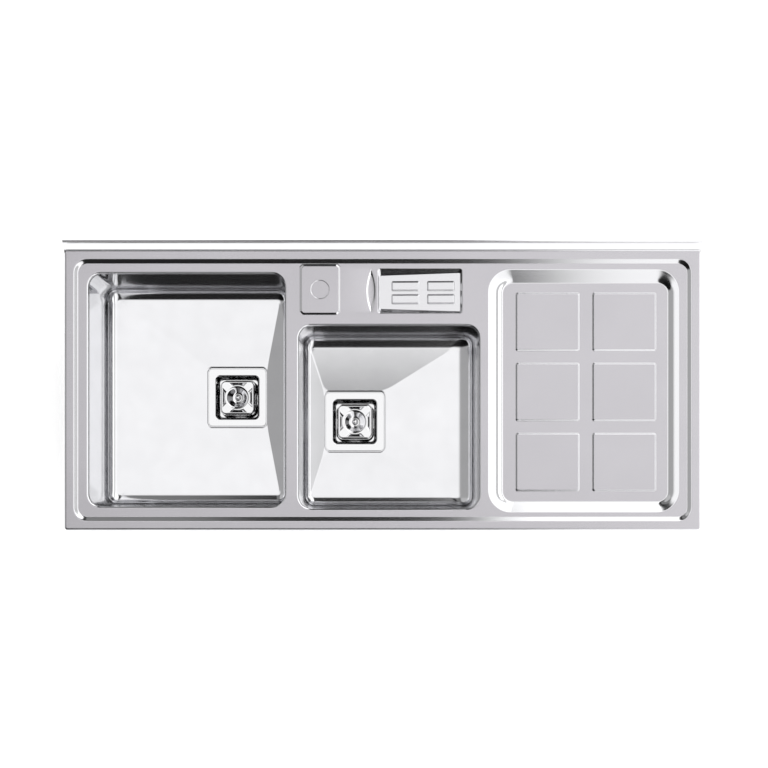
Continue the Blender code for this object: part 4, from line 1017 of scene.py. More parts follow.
# %% [markdown]
# ## Weld beads
# Underneath, the weld between a bowl and the top is left as it was laid: a thin bead that runs round
# the lip. A bead follows a path, so a small rule sweeps a round section along the outline of the lip.

# %% Weld beads
def bead_rule():
    tree, given = new_rule("bead along an outline", {"Outline": "Object", "Radius": "Float"})
    outline = add_node(tree, "GeometryNodeObjectInfo", inputs={"Object": given["Outline"]})
    inputs = {"Mesh": outline.outputs["Geometry"]}
    path = add_node(tree, "GeometryNodeMeshToCurve", inputs=inputs).outputs["Curve"]
    inputs = {"Resolution": 8, "Radius": given["Radius"]}
    section = add_node(tree, "GeometryNodeCurvePrimitiveCircle", inputs=inputs).outputs["Curve"]
    inputs = {"Curve": path, "Profile Curve": section}
    bead = add_node(tree, "GeometryNodeCurveToMesh", inputs=inputs)
    return end_rule(tree, given, bead.outputs["Mesh"])


def outline_object(name, *loops):
    """Closed loops of edges without faces, for a rule to follow or to fill."""
    mesh = bmesh.new()
    for points in loops:
        ring = add_ring(mesh, points)
        for n in range(len(ring)):
            mesh.edges.new((ring[n - 1], ring[n]))
    return to_object(name, mesh, satin)


def face_outwards(obj):
    mesh = bmesh.new()
    mesh.from_mesh(obj.data)
    bmesh.ops.recalc_face_normals(mesh, faces=mesh.faces)
    mesh.to_mesh(obj.data)
    mesh.free()
    return obj


def join_into(name, objects):
    """One object with the meshes of several, which it replaces."""
    mesh = bmesh.new()
    for obj in objects:
        mesh.from_mesh(obj.data)
    material = objects[0].data.materials[0]
    for obj in objects:
        bpy.data.objects.remove(obj)
    return to_object(name, mesh, material)


BEAD_RULE = bead_rule()
BEAD_R = 0.0010
beads = []
for mouth in (LARGE_MOUTH, SMALL_MOUTH):
    line = inset(mouth, [LIP_DRAFT - BOWL_SHEET - BEAD_R / 3] * 4)
    loop = outline_object("weld_line", rounded(line, MOUTH_R + BOWL_SHEET, DECK_Z - LIP_DEPTH, 8, 0.01))
    sizes = {"Outline": loop, "Radius": BEAD_R, "Material": satin}
    beads.append(face_outwards(run_rule("bead", BEAD_RULE, sizes)))
    bpy.data.objects.remove(loop)
finish_piece(join_into("weld_beads", beads), "sink", "satin_steel")

# %% [markdown]
# ## Heights in a waste
# A waste clamps the bowl's sheet between two halves: the stamped flange with its cup above, and the
# moulded body below, drawn together by one long screw. Everything is stacked from the drain downwards
# with a gap of 0.3 mm between neighbours, so each piece starts where the one above it ends.

# %% Heights in a waste
FLANGE_SHEET = 0.001
CUP_DEPTH = 0.034
FLANGE_Z = -FIT
LEDGE_Z = -RECESS_DEPTH
CUP_FLOOR = FLANGE_Z - CUP_DEPTH
GASKET_SIZE = FLANGE_SIZE - 0.002
BODY_GASKET_TOP = LEDGE_Z - BOWL_SHEET - FIT
BODY_TOP = BODY_GASKET_TOP - 0.002 - FIT
BODY_FLOOR = BODY_TOP - 0.0345
BODY_WALL = 0.003
OUTLET_TOP = BODY_FLOOR - 0.006
OUTLET_END = OUTLET_TOP - 0.032
OUTLET_R = 0.0239
OUTLET_BORE = 0.0200
BOSS_TOP = CUP_FLOOR - FLANGE_SHEET - FIT
BASKET_TOP = FLANGE_Z - 0.0015
DISH_DEPTH = 0.0085
DISH_BOTTOM = BASKET_TOP - DISH_DEPTH
SIDES = ("left", "right")
print("a waste reaches", round(-1000 * OUTLET_END, 1), "mm below its drain")

# %% [markdown]
# ## Perforated sheet
# The cup's floor has eight drain holes on a circle round the screw, and the strainer has a slot on each
# of its four sides. Both are the same rule: an outline, one hole that is copied round a circle, and a
# fill that leaves the holes open. The flat result is welded into the pressed piece around it.

# %% Perforated sheet
def copies_round(tree, shape, count, radius):
    """Copies of an object's shape round the Z axis, turned to face outwards. Gives back their socket."""
    spots = add_node(tree, "GeometryNodeMeshCircle", inputs={"Vertices": count, "Radius": radius})
    number = add_node(tree, "GeometryNodeInputIndex")
    inputs = {0: number.outputs[0], 1: count}
    share = add_node(tree, "ShaderNodeMath", {"operation": "DIVIDE"}, inputs)
    inputs = {0: share.outputs[0], 1: math.tau}
    turn = add_node(tree, "ShaderNodeMath", {"operation": "MULTIPLY"}, inputs)
    one = add_node(tree, "GeometryNodeObjectInfo", inputs={"Object": shape})
    inputs = {"Points": spots.outputs[0], "Instance": one.outputs["Geometry"]}
    inputs["Rotation"] = turned_about_z(tree, turn.outputs[0])
    return add_node(tree, "GeometryNodeInstanceOnPoints", inputs=inputs).outputs[0]


def perforated_rule():
    sizes = {"Outline": "Object", "Hole": "Object", "Holes": "Int", "Hole Circle Radius": "Float"}
    tree, given = new_rule("perforated sheet", {**sizes, "Height": "Float"})
    holes = copies_round(tree, given["Hole"], given["Holes"], given["Hole Circle Radius"])
    real = add_node(tree, "GeometryNodeRealizeInstances", inputs={"Geometry": holes})
    outline = add_node(tree, "GeometryNodeObjectInfo", inputs={"Object": given["Outline"]})
    inputs = {"Geometry": [outline.outputs["Geometry"], real.outputs[0]]}
    loops = add_node(tree, "GeometryNodeJoinGeometry", inputs=inputs)
    curves = add_node(tree, "GeometryNodeMeshToCurve", inputs={"Mesh": loops.outputs[0]})
    flat = add_node(tree, "GeometryNodeFillCurve", inputs={"Curve": curves.outputs["Curve"]})
    return end_rule(tree, given, raised(tree, flat.outputs["Mesh"], given["Height"]))


def perforated(name, loops, hole_points, count, radius, height):
    """A flat sheet inside the first loop and outside the others, with a ring of holes, facing up."""
    outline = outline_object("outline", *loops)
    hole = outline_object("hole", hole_points)
    sizes = {"Outline": outline, "Hole": hole, "Holes": count, "Hole Circle Radius": radius}
    sheet = run_rule(name, PERFORATED_RULE, {**sizes, "Height": height, "Material": polished})
    if sheet.data.polygons[0].normal.z < 0:
        sheet.data.flip_normals()
    for helper in (outline, hole):
        bpy.data.objects.remove(helper)
    return sheet


def flat_ring(points):
    return [(x, y, 0.0) for x, y, _ in points]


PERFORATED_RULE = perforated_rule()

# %% [markdown]
# ## Flange and cup
# The flange is a square frame of 1 mm polished sheet with a soft outer edge. Inside the frame the same
# sheet goes down as a square cup with rounded corners, so its rings simply run on.

# %% Flange and cup
SCREW_HOLE_R = 0.0036
DRAIN_HOLE_R = 0.0055
DRAIN_CIRCLE_R = 0.018


def make_flange(side):
    mesh = bmesh.new()
    lip, draft, bottom, edge = 0.002, 0.0012, 0.004, 0.0005
    outer, mouth, inner = FLANGE_SIZE / 2, CUP_SIZE / 2 + lip, CUP_SIZE / 2 - draft
    stages = quarter((outer - edge, FLANGE_Z - edge), edge, 0, 3)
    stages += [(outer - 2 * edge, FLANGE_Z), (mouth + edge, FLANGE_Z)]
    stages += quarter((mouth, FLANGE_Z - lip), lip, 1, 5)
    stages += quarter((inner - bottom, CUP_FLOOR + bottom), bottom, 0, 5, -1)
    rings = []
    for half, z in supported(stages, 0.001):
        out = max(half - CUP_SIZE / 2, 0.0)
        radius = 0.008 + (min(out, lip) if out < 2 * lip else 0.0)
        rings.append(rounded(square(2 * half), radius, z, support=0.002))
    join_chain(mesh, [add_ring(mesh, points) for points in rings])
    loops = [flat_ring(rings[-1]), circle(SCREW_HOLE_R, 0.0, count=24)]
    drain_hole = circle(DRAIN_HOLE_R, 0.0, count=28)
    floor = perforated("cup_floor", loops, drain_hole, 8, DRAIN_CIRCLE_R, CUP_FLOOR)
    take_in(mesh, floor)
    flange = thicken(to_object(side + "_stamped_flange", mesh, polished), FLANGE_SHEET)
    finish_piece(flange, "sink", "polished_steel", side + "_flange", place=drain_of(side))


for side in SIDES:
    make_flange(side)

# %% [markdown]
# ## Gaskets
# Two square rubber rings seal the bowl's hole, one above the sheet and one below it. Each is a closed
# ring, so its four outlines run down the outside and back up inside, with every edge rounded over.

# %% Gaskets
def solid_piece(name, rings, material, bend=0.0004, hollow=False):
    mesh = bmesh.new()
    add_solid(mesh, softened(rings, bend, hollow), hollow)
    return to_object(name, mesh, material)


def make_gasket(side, node, inner, top, bottom):
    radius = 0.008
    inner_radius = max(radius - (GASKET_SIZE - inner) / 2, 0.004)
    rings = [rounded(square(GASKET_SIZE), radius, z) for z in (top, bottom)]
    rings += [rounded(square(inner), inner_radius, z) for z in (bottom, top)]
    ring = solid_piece(f"{side}_moulded_{node}", rings, rubber, hollow=True)
    finish_piece(ring, "sink", "rubber", f"{side}_{node}", place=drain_of(side))


for side in SIDES:
    top = FLANGE_Z - FLANGE_SHEET - FIT
    make_gasket(side, "flange_gasket", BOWL_HOLE + 0.001, top, LEDGE_Z + FIT)
    make_gasket(side, "body_gasket", BOWL_HOLE + 0.003, BODY_GASKET_TOP, BODY_GASKET_TOP - 0.002)

# %% [markdown]
# ## Waste body
# The body is moulded in grey polypropylene: a square rim, a hopper, and an outlet with a coarse pipe
# thread. In its middle a boss on four spokes takes the clamp screw. Eight gussets stiffen the hopper.
# Gussets are copied round the axis by a rule, and the thread is a spiral with a four-sided section
# swept along it, half sunk into the wall of the outlet.

# %% Rules for gussets and thread
def round_rule():
    """Copies of one shape round the Z axis."""
    tree, given = new_rule("copies round the axis", {"Shape": "Object", "Copies": "Int"})
    return end_rule(tree, given, copies_round(tree, given["Shape"], given["Copies"], 0.0))


def thread_rule():
    """A spiral ridge that climbs by one pitch each turn, from a starting height."""
    sizes = {"Radius": "Float", "Depth": "Float", "Pitch": "Float", "Turns": "Float", "Start": "Float"}
    tree, given = new_rule("pipe thread", sizes)
    inputs = {0: given["Pitch"], 1: given["Turns"]}
    height = add_node(tree, "ShaderNodeMath", {"operation": "MULTIPLY"}, inputs)
    spiral = {"Resolution": 40, "Rotations": given["Turns"], "Height": height.outputs[0]}
    spiral.update({"Start Radius": given["Radius"], "End Radius": given["Radius"]})
    path = add_node(tree, "GeometryNodeCurveSpiral", inputs=spiral).outputs["Curve"]
    upright = add_node(tree, "GeometryNodeSetCurveNormal", {"mode": "Z_UP"}, {"Curve": path}).outputs[0]
    inputs = {"Resolution": 4, "Radius": given["Depth"]}
    section = add_node(tree, "GeometryNodeCurvePrimitiveCircle", inputs=inputs).outputs["Curve"]
    inputs = {"Curve": upright, "Profile Curve": section, "Fill Caps": True}
    ridge = add_node(tree, "GeometryNodeCurveToMesh", inputs=inputs)
    return end_rule(tree, given, raised(tree, ridge.outputs["Mesh"], given["Start"]))


ROUND_RULE = round_rule()
THREAD_RULE = thread_rule()

# %% Waste body
THREAD_DEPTH = 0.0011
THREAD_PITCH = 0.0023


def plate(name, outline, thickness, bend, material):
    """An outline of (x, z) points, anticlockwise seen from the front, given a thickness along Y."""
    corners = softened([[(x, 0.0, z)] for x, z in outline], bend, closed=True)
    mesh = bmesh.new()
    edge = min(bend, thickness / 4)
    middle = sum((row[0] for row in corners), Vector()) / len(corners)
    rings = []
    for y, shrink in ((-0.5, edge), (-0.5, 0), (0.5, 0), (0.5, edge)):
        depth = thickness * y + (edge if shrink == 0 else 0) * (1 if y < 0 else -1)
        pull = [(middle - row[0]).normalized() * shrink for row in corners]
        rings.append(add_ring(mesh, [row[0] + p + Vector((0, depth, 0)) for row, p in zip(corners, pull)]))
    for front, back in zip(rings, rings[1:]):
        join_rings(mesh, back, front)
    mesh.faces.new(rings[0])
    mesh.faces.new(list(reversed(rings[-1])))
    bmesh.ops.recalc_face_normals(mesh, faces=mesh.faces)
    return to_object(name, mesh, material)


def boolean(obj, tool, operation):
    """Joins or cuts obj with tool, which is then removed."""
    change = obj.modifiers.new(operation.title(), "BOOLEAN")
    change.operation = operation
    change.object = tool
    change.solver = "EXACT"
    apply_modifiers(obj)
    obj.data.shade_smooth()
    obj.data.set_sharp_from_angle(angle=math.radians(35))
    bpy.data.objects.remove(tool)
    return obj


def make_waste_body(side):
    inner, shell = BOWL_HOLE + 0.003, BOWL_HOLE + 0.003 + 2 * BODY_WALL
    corner, rim_end = 0.013, BODY_TOP - 0.004
    rim_corner = corner + (GASKET_SIZE - inner) / 2
    root = OUTLET_R - THREAD_DEPTH
    rings = [
        rounded(square(GASKET_SIZE), rim_corner, BODY_TOP),
        rounded(square(GASKET_SIZE), rim_corner, rim_end),
        rounded(square(shell), corner + BODY_WALL, rim_end),
        rounded(square(shell), corner + BODY_WALL, BODY_FLOOR),
        circle(root, OUTLET_TOP - BODY_WALL),
        circle(root, OUTLET_END),
        circle(OUTLET_BORE, OUTLET_END),
        circle(OUTLET_BORE, OUTLET_TOP),
        rounded(square(inner), corner, BODY_FLOOR + BODY_WALL / 3),
        rounded(square(inner), corner, BODY_TOP),
    ]
    body = solid_piece(f"{side}_moulded_body", rings, plastic, 0.0006, hollow=True)

    boss_end = BOSS_TOP - 0.017
    boss = [circle(0.0075, z) for z in (BOSS_TOP, boss_end)]
    boss += [circle(0.0032, z) for z in (boss_end, BOSS_TOP)]
    boolean(body, solid_piece("boss", boss, plastic, 0.0004, hollow=True), "UNION")
    spoke_z = min(boss_end + 0.003, OUTLET_TOP - BODY_WALL)
    low, high, start, end = spoke_z - 0.003, spoke_z + 0.003, 0.0055, OUTLET_BORE + 0.0015
    spoke = [(start, low), (end, low), (end, high), (start, high)]
    gusset = [(root - 0.001, BODY_FLOOR - 0.022), (root + 0.003, BODY_FLOOR - 0.022)]
    gusset += [(0.046, BODY_FLOOR + 0.001), (root - 0.001, BODY_FLOOR - 0.007)]
    for outline, thickness, count in ((spoke, 0.004, 4), (gusset, 0.0022, 8)):
        one = plate("one", outline, thickness, 0.0004, plastic)
        sizes = {"Shape": one, "Copies": count, "Material": plastic}
        boolean(body, run_rule("copies", ROUND_RULE, sizes), "UNION")
        bpy.data.objects.remove(one)

    turns = 9.5
    sizes = {"Radius": root, "Depth": THREAD_DEPTH, "Pitch": THREAD_PITCH, "Turns": turns}
    start = OUTLET_END + 2 * THREAD_DEPTH
    thread = run_rule("thread", THREAD_RULE, {**sizes, "Start": start, "Material": plastic})
    body = join_into(f"{side}_moulded_body", [body, face_outwards(thread)])
    finish_piece(body, "sink", "plastic", side + "_waste_body", place=drain_of(side))


for side in SIDES:
    make_waste_body(side)

# %% [markdown]
# ## Coupling nut and washer
# The nut is turned by hand, so its outside has ten finger lugs with hollows between them. Their height
# follows a cosine that is flattened at the top. Inside it runs on the thread, and its lip presses the
# washer against the end of the outlet.

# %% Coupling nut and washer
NUT_POINTS = 120
NUT_LUGS = 10


def nut_ring(radius, z, hollow=0.0):
    points = []
    for n in range(NUT_POINTS):
        turn = math.tau * n / NUT_POINTS
        wave = 0.5 - 0.5 * math.cos(NUT_LUGS * turn)
        out = radius - hollow * min(1.0, 1.6 * wave) ** 2
        points.append((out * math.cos(turn), out * math.sin(turn), z))
    return points


def make_nut(side):
    low = OUTLET_END - 0.0034 - 2 * FIT - 0.003
    high = low + 0.021
    rings = [nut_ring(0.0298, high), nut_ring(0.031, high - 0.0016, 0.0015)]
    rings += [nut_ring(0.031, low + 0.0016, 0.0015), nut_ring(0.0298, low)]
    rings += [nut_ring(0.0205, z) for z in (low, low + 0.003)]
    rings += [nut_ring(OUTLET_R + FIT, z) for z in (low + 0.003, high)]
    nut = solid_piece(f"{side}_moulded_nut", rings, plastic, 0.0005, hollow=True)
    finish_piece(nut, "sink", "plastic", side + "_outlet_nut", place=drain_of(side))


def make_washer(side):
    top, bottom = OUTLET_END - FIT, OUTLET_END - FIT - 0.0034
    rings = [circle(OUTLET_R - FIT, z) for z in (top, bottom)]
    rings += [circle(OUTLET_BORE, z) for z in (bottom, top)]
    washer = solid_piece(f"{side}_moulded_washer", rings, rubber, hollow=True)
    finish_piece(washer, "sink", "rubber", side + "_outlet_washer", place=drain_of(side))


for side in SIDES:
    make_nut(side)
    make_washer(side)

# %% [markdown]
# ## Clamp screw
# One long screw holds the waste together. Its low round head has a slot that a coin fits, cut with a
# Boolean, and it hides under the strainer's seal.

# %% Clamp screw
def make_clamp_screw(side):
    seat, head = CUP_FLOOR + FIT, 0.0027
    profile = ((0.0024, head), (0.0048, 0.8 * head), (0.006, 0.5 * head), (0.006, 0.0), (0.0028, 0.0))
    rings = [circle(radius, seat + z, count=40) for radius, z in profile]
    rings += [circle(0.0028, seat - 0.0172, count=40), circle(0.0020, seat - 0.018, count=40)]
    screw = solid_piece(f"{side}_slotted_screw", rings, polished, 0.0003)
    slot = bmesh.new()
    size = Matrix.Diagonal((0.014, 0.0014, 0.0026, 1))
    bmesh.ops.create_cube(slot, size=1, matrix=Matrix.Translation((0, 0, seat + head)) @ size)
    boolean(screw, to_object("screw_slot", slot, polished), "DIFFERENCE")
    finish_piece(screw, "sink", "polished_steel", side + "_clamp_screw", place=drain_of(side))


for side in SIDES:
    make_clamp_screw(side)

# %% [markdown]
# ## Strainer
# The square strainer lifts out of the cup. Its cover is stamped from 0.8 mm sheet: a skirt, a rounded
# edge, a flat top with a slot on each side, and a round dish in the middle that leads water to the
# slots. A knob is turned in one piece with its stem and foot, and the foot presses a bell of rubber
# over the drain holes.

# %% Strainer
BASKET_SIZE = CUP_SIZE - 2 * 0.0095
SLOT_LENGTH = 0.020
SLOT_WIDTH = 0.0024
SLOT_FROM_CENTRE = BASKET_SIZE / 2 - 0.0055
DISH_R = SLOT_FROM_CENTRE - SLOT_WIDTH / 2 - 0.0028
DISH_FLAT_R = 0.0075


def slot_points():
    half = (SLOT_LENGTH - SLOT_WIDTH) / 2
    points = []
    for end in (1, -1):
        for step in range(9):
            turn = math.pi * step / 8
            x, y = SLOT_WIDTH / 2 * math.cos(turn), half + SLOT_WIDTH / 2 * math.sin(turn)
            points.append((end * x, end * y, 0.0))
    return points


def make_strainer_cover(side):
    mesh = bmesh.new()
    edge, radius = 0.0025, 0.010
    stages = [(BASKET_SIZE / 2 + 0.001, radius, BASKET_TOP - 0.016)]
    for out, z in quarter((BASKET_SIZE / 2 - edge, BASKET_TOP - edge), edge, 0, 6):
        stages.append((out, radius - (BASKET_SIZE / 2 - out), z))
    stages.append((BASKET_SIZE / 2 - edge - 0.0006, radius - edge - 0.0006, BASKET_TOP))
    rings = [rounded(square(2 * half), r, z) for half, r, z in supported(stages, 0.0008)]
    join_chain(mesh, [add_ring(mesh, points) for points in rings])
    dish = [circle(DISH_R + 0.0007, BASKET_TOP, count=64)]
    for step in range(13):
        share = 1 - step / 12
        height = DISH_DEPTH * (1 - soft_step(0.3, 12)[step][1])
        dish.append(circle(DISH_FLAT_R + (DISH_R - DISH_FLAT_R) * share, DISH_BOTTOM + height, count=64))
    dish.append(circle(0.0025, DISH_BOTTOM, count=64))
    join_chain(mesh, [add_ring(mesh, points) for points in dish])
    loops = [flat_ring(rings[-1]), flat_ring(dish[0])]
    top = perforated("strainer_top", loops, slot_points(), 4, SLOT_FROM_CENTRE, BASKET_TOP)
    take_in(mesh, top)
    cover = thicken(to_object(f"{side}_stamped_cover", mesh, polished), 0.0008)
    finish_piece(cover, side + "_strainer", "polished_steel", side + "_basket", place=drain_of(side))


def make_strainer_knob(side):
    seat, foot = DISH_BOTTOM + FIT, CUP_FLOOR + 2 * FIT + 0.0075
    profile = [(0.0012, 0.005), (0.0026, 0.0047), (0.0037, 0.0038)]
    profile += [(0.004, 0.0026), (0.0036, 0.0010), (0.0030, 0.0)]
    rings = [circle(radius, seat + z, count=40) for radius, z in profile]
    rings += [circle(0.0022, z, count=40) for z in (seat, foot + 0.0025)]
    rings += [circle(0.006, foot + z, count=40) for z in (0.0015, 0.0)]
    knob = solid_piece(f"{side}_turned_knob", rings, polished, 0.0003)
    finish_piece(knob, side + "_strainer", "polished_steel", side + "_basket_knob", place=drain_of(side))


def make_strainer_seal(side):
    low, radius = CUP_FLOOR + FIT, DRAIN_CIRCLE_R + DRAIN_HOLE_R + 0.003
    profile = ((0.006, 0.0075), (0.6 * radius, 0.0054), (radius - 0.001, 0.0028), (radius, 0.0025))
    rings = [circle(r, low + z, count=56) for r, z in profile]
    rings += [circle(r, low + z, count=56) for r, z in ((radius, 0.0), (0.009, 0.0), (0.0072, 0.0045))]
    seal = solid_piece(f"{side}_moulded_seal", rings, rubber, 0.0006)
    finish_piece(seal, side + "_strainer", "rubber", side + "_basket_seal", place=drain_of(side))


for side in SIDES:
    make_strainer_cover(side)
    make_strainer_knob(side)
    make_strainer_seal(side)

# %% [markdown]
# ## Channels under the drainboard
# Two folded channels keep the drainboard stiff. They run between the rows of pads and are open
# downwards. The fold of a 1.2 mm sheet has a small radius inside and out, so the section is drawn once
# with sharp corners and softened before it is drawn out along X.

# %% Channels
def bar(name, outline, low, high, bend, material):
    """A section of (y, z) points, drawn out along X."""
    section = softened([[(0.0, y, z)] for y, z in outline], bend, closed=True)
    mesh = bmesh.new()
    ends = [add_ring(mesh, [(x, row[0].y, row[0].z) for row in section]) for x in (low, high)]
    join_rings(mesh, *ends)
    mesh.faces.new(ends[0])
    mesh.faces.new(list(reversed(ends[1])))
    bmesh.ops.recalc_face_normals(mesh, faces=mesh.faces)
    return to_object(name, mesh, material)


for end in ("front", "back"):
    low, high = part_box("drainer_channel_" + end)
    sheet = 0.0012
    section = [(low.y, low.z), (low.y + sheet, low.z), (low.y + sheet, high.z - sheet)]
    section += [(high.y - sheet, high.z - sheet), (high.y - sheet, low.z), (high.y, low.z)]
    section += [(high.y, high.z), (low.y, high.z)]
    channel = bar(f"{end}_folded_channel", section, low.x, high.x, 0.0007, zinc)
    finish_piece(channel, "sink", "zinc_steel", "drainer_channel_" + end)

# %% [markdown]
# ## Damping pads
# Pads of bitumen are stuck under the drainboard and the bowl floors, so that water doesn't drum on
# them. They are stamped out with round corners. The pads of the bowls lie under the long fall and are
# tilted with it.

# %% Damping pads
def damping_pad(name, size):
    """A flat pad round the origin, with round corners and its top and bottom edges broken."""
    mesh = bmesh.new()
    width, length, thickness = size
    rings = []
    for level, shrink in ((0.5, 0.0006), (0.35, 0.0), (-0.35, 0.0), (-0.5, 0.0006)):
        box = inset((-width / 2, width / 2, -length / 2, length / 2), [shrink] * 4)
        rings.append(rounded(box, PAD_CORNER_R - shrink, thickness * level, 6, 0.002))
    add_solid(mesh, rings)
    bmesh.ops.triangulate(mesh, faces=[face for face in mesh.faces if len(face.verts) > 4])
    return to_object(name, mesh, bitumen)


PAD_CORNER_R = 0.008
PAD_THICKNESS = 0.002


def place_damping(node, tilt=0.0):
    low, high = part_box(node)
    width = (high.x - low.x - PAD_THICKNESS * abs(math.sin(tilt))) / math.cos(tilt)
    pad = damping_pad(node + "_stamped", (width, high.y - low.y, PAD_THICKNESS))
    pad.data.transform(Matrix.Rotation(tilt, 4, "Y"))
    finish_piece(pad, "sink", "damping", node, place=(low + high) / 2)


def floor_tilt(edge_x, drain):
    """How far the fall between a floor's edge and the recess turns about Y."""
    run = abs(edge_x - drain.x) - RECESS_SIZE / 2
    return math.copysign(math.atan2(FLOOR_FALL, run), drain.x - edge_x)


place_damping("drainer_damping_left")
place_damping("drainer_damping_right")
place_damping("left_bowl_damping", floor_tilt(LARGE_MOUTH[0] + 0.023, drain_of("left")))
place_damping("right_bowl_damping", floor_tilt(SMALL_MOUTH[1] - 0.041, drain_of("right")))

# %% [markdown]
# ## Mounting clips and their screws
# Four zinc-plated brackets hook over the seat flange and are screwed to the sides of the cabinet. They
# sit at the corners of a rectangle, and those on the left are turned round. One rule sets out four
# copies like that, and it places both the brackets and the screws.

# %% Mounting clips
def fixing_rule():
    sizes = {"Fixing": "Object", "Span X": "Float", "Span Y": "Float", "Middle": "Vector"}
    tree, given = new_rule("four fixings", sizes)
    inputs = {"Size X": given["Span X"], "Size Y": given["Span Y"], "Vertices X": 2, "Vertices Y": 2}
    corners = add_node(tree, "GeometryNodeMeshGrid", inputs=inputs)
    spot = add_node(tree, "GeometryNodeInputPosition")
    parts = add_node(tree, "ShaderNodeSeparateXYZ", inputs={0: spot.outputs[0]})
    inputs = {0: parts.outputs["X"], 1: 0.0}
    on_left = add_node(tree, "ShaderNodeMath", {"operation": "LESS_THAN"}, inputs)
    inputs = {0: on_left.outputs[0], 1: math.pi}
    half_turn = add_node(tree, "ShaderNodeMath", {"operation": "MULTIPLY"}, inputs)
    fixing = add_node(tree, "GeometryNodeObjectInfo", inputs={"Object": given["Fixing"]})
    inputs = {"Points": corners.outputs["Mesh"], "Instance": fixing.outputs["Geometry"]}
    inputs["Rotation"] = turned_about_z(tree, half_turn.outputs[0])
    copies = add_node(tree, "GeometryNodeInstanceOnPoints", inputs=inputs)
    inputs = {"Geometry": copies.outputs[0], "Translation": given["Middle"]}
    placed = add_node(tree, "GeometryNodeTransform", inputs=inputs)
    return end_rule(tree, given, placed.outputs[0])


FIXING_RULE = fixing_rule()
CLIP_NUMBERS = (1, 2, 3, 4)
clip_boxes = [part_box(f"clip_{number}") for number in CLIP_NUMBERS]
clip_rows = sorted({round((low.y + high.y) / 2, 5) for low, high in clip_boxes})
BRACKET_LENGTH = 0.020
BRACKET_SHEET = 0.0015
LEG = -0.016 - FIT - BRACKET_SHEET
HOOK = SHEET + FIT
SCREW_Z = -0.020


def bracket():
    """The bracket on the right, with x counted from the outer side of the sink."""
    leg_out = LEG + BRACKET_SHEET
    section = [(LEG, -0.035), (leg_out, -0.035), (leg_out, HOOK), (-0.003, HOOK)]
    section += [(-0.003, HOOK + BRACKET_SHEET), (LEG, HOOK + BRACKET_SHEET)]
    made = bar("bracket", section, -BRACKET_LENGTH / 2, BRACKET_LENGTH / 2, 0.0007, zinc)
    made.data.transform(Matrix.Rotation(-math.pi / 2, 4, "Z"))
    hole = solid_piece("hole", [circle(0.0022, z, count=24) for z in (0.01, -0.01)], zinc)
    hole.data.transform(Matrix.Translation((LEG, 0, SCREW_Z)) @ Matrix.Rotation(math.pi / 2, 4, "Y"))
    return boolean(made, hole, "DIFFERENCE")


def clip_screw():
    """A pan head with a slot, a shank and a point, lying along +X."""
    head, tip = 0.0022, 0.015
    profile = [(0.0022, head), (0.0034, 0.8 * head), (0.004, 0.45 * head), (0.004, FIT), (0.0019, FIT)]
    profile += [(0.0019, -0.75 * tip), (0.0004, -tip)]
    made = solid_piece("screw", [circle(radius, z, count=24) for radius, z in profile], zinc, 0.0003)
    slot = bmesh.new()
    size = Matrix.Diagonal((0.010, 0.0010, 0.0018, 1))
    bmesh.ops.create_cube(slot, size=1, matrix=Matrix.Translation((0, 0, head)) @ size)
    boolean(made, to_object("screw_slot", slot, zinc), "DIFFERENCE")
    turn = Matrix.Rotation(-math.pi / 2, 4, "Y")
    made.data.transform(Matrix.Translation((LEG, 0, SCREW_Z)) @ turn)
    return made


FIXINGS = (("mounting_brackets", bracket(), "clip_"), ("bracket_screws", clip_screw(), "clip_screw_"))
for name, one, node in FIXINGS:
    sizes = {
        "Fixing": one,
        "Span X": 2 * HALF_WIDTH,
        "Span Y": clip_rows[-1] - clip_rows[0],
        "Middle": (0, sum(clip_rows) / len(clip_rows), 0),
        "Material": zinc,
    }
    made = run_rule(name, FIXING_RULE, sizes)
    bpy.data.objects.remove(one)
    finish_piece(made, "sink", "zinc_steel", *(f"{node}{number}" for number in CLIP_NUMBERS))

# %% [markdown]
# ## Floor
# The sink lies on a plain white floor that glows a little, so that it stays white under and around the
# bowls and yet takes a soft shadow.

# %% Floor
FLOOR_SIZE = 14.0
FLOOR_GLOW = 0.52
UNDER_SINK = 0.001


def make_floor():
    mesh = bmesh.new()
    z = cad_low.z - UNDER_SINK
    corners = [(x * FLOOR_SIZE, y * FLOOR_SIZE, z) for x, y in ((-1, -1), (1, -1), (1, 1), (-1, 1))]
    mesh.faces.new(add_ring(mesh, corners))
    material = new_material("white board, matt painted")[0]
    glow = {"Emission Color": linear("#FFFFFF"), "Emission Strength": FLOOR_GLOW}
    finish_material(material, linear("#F4F4F4"), 0.8, metallic=0.0, **glow)
    to_object("floor", mesh, material)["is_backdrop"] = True


make_floor()

# %% [markdown]
# ## Studio light
# Steel looks like steel because of what it mirrors. The studio is a wide white ceiling with soft zones
# in it, each set by its direction: a dark gap high in front, a bright edge low in front that the
# upstand mirrors, a dark room behind, and grey to the left. It is brighter to the right, with a grey
# beam across. Each zone multiplies the light by its own number, and every one of its borders runs
# softly from a first value of the direction's X or Y, where it hasn't begun, to a second one. The
# camera itself sees plain white.

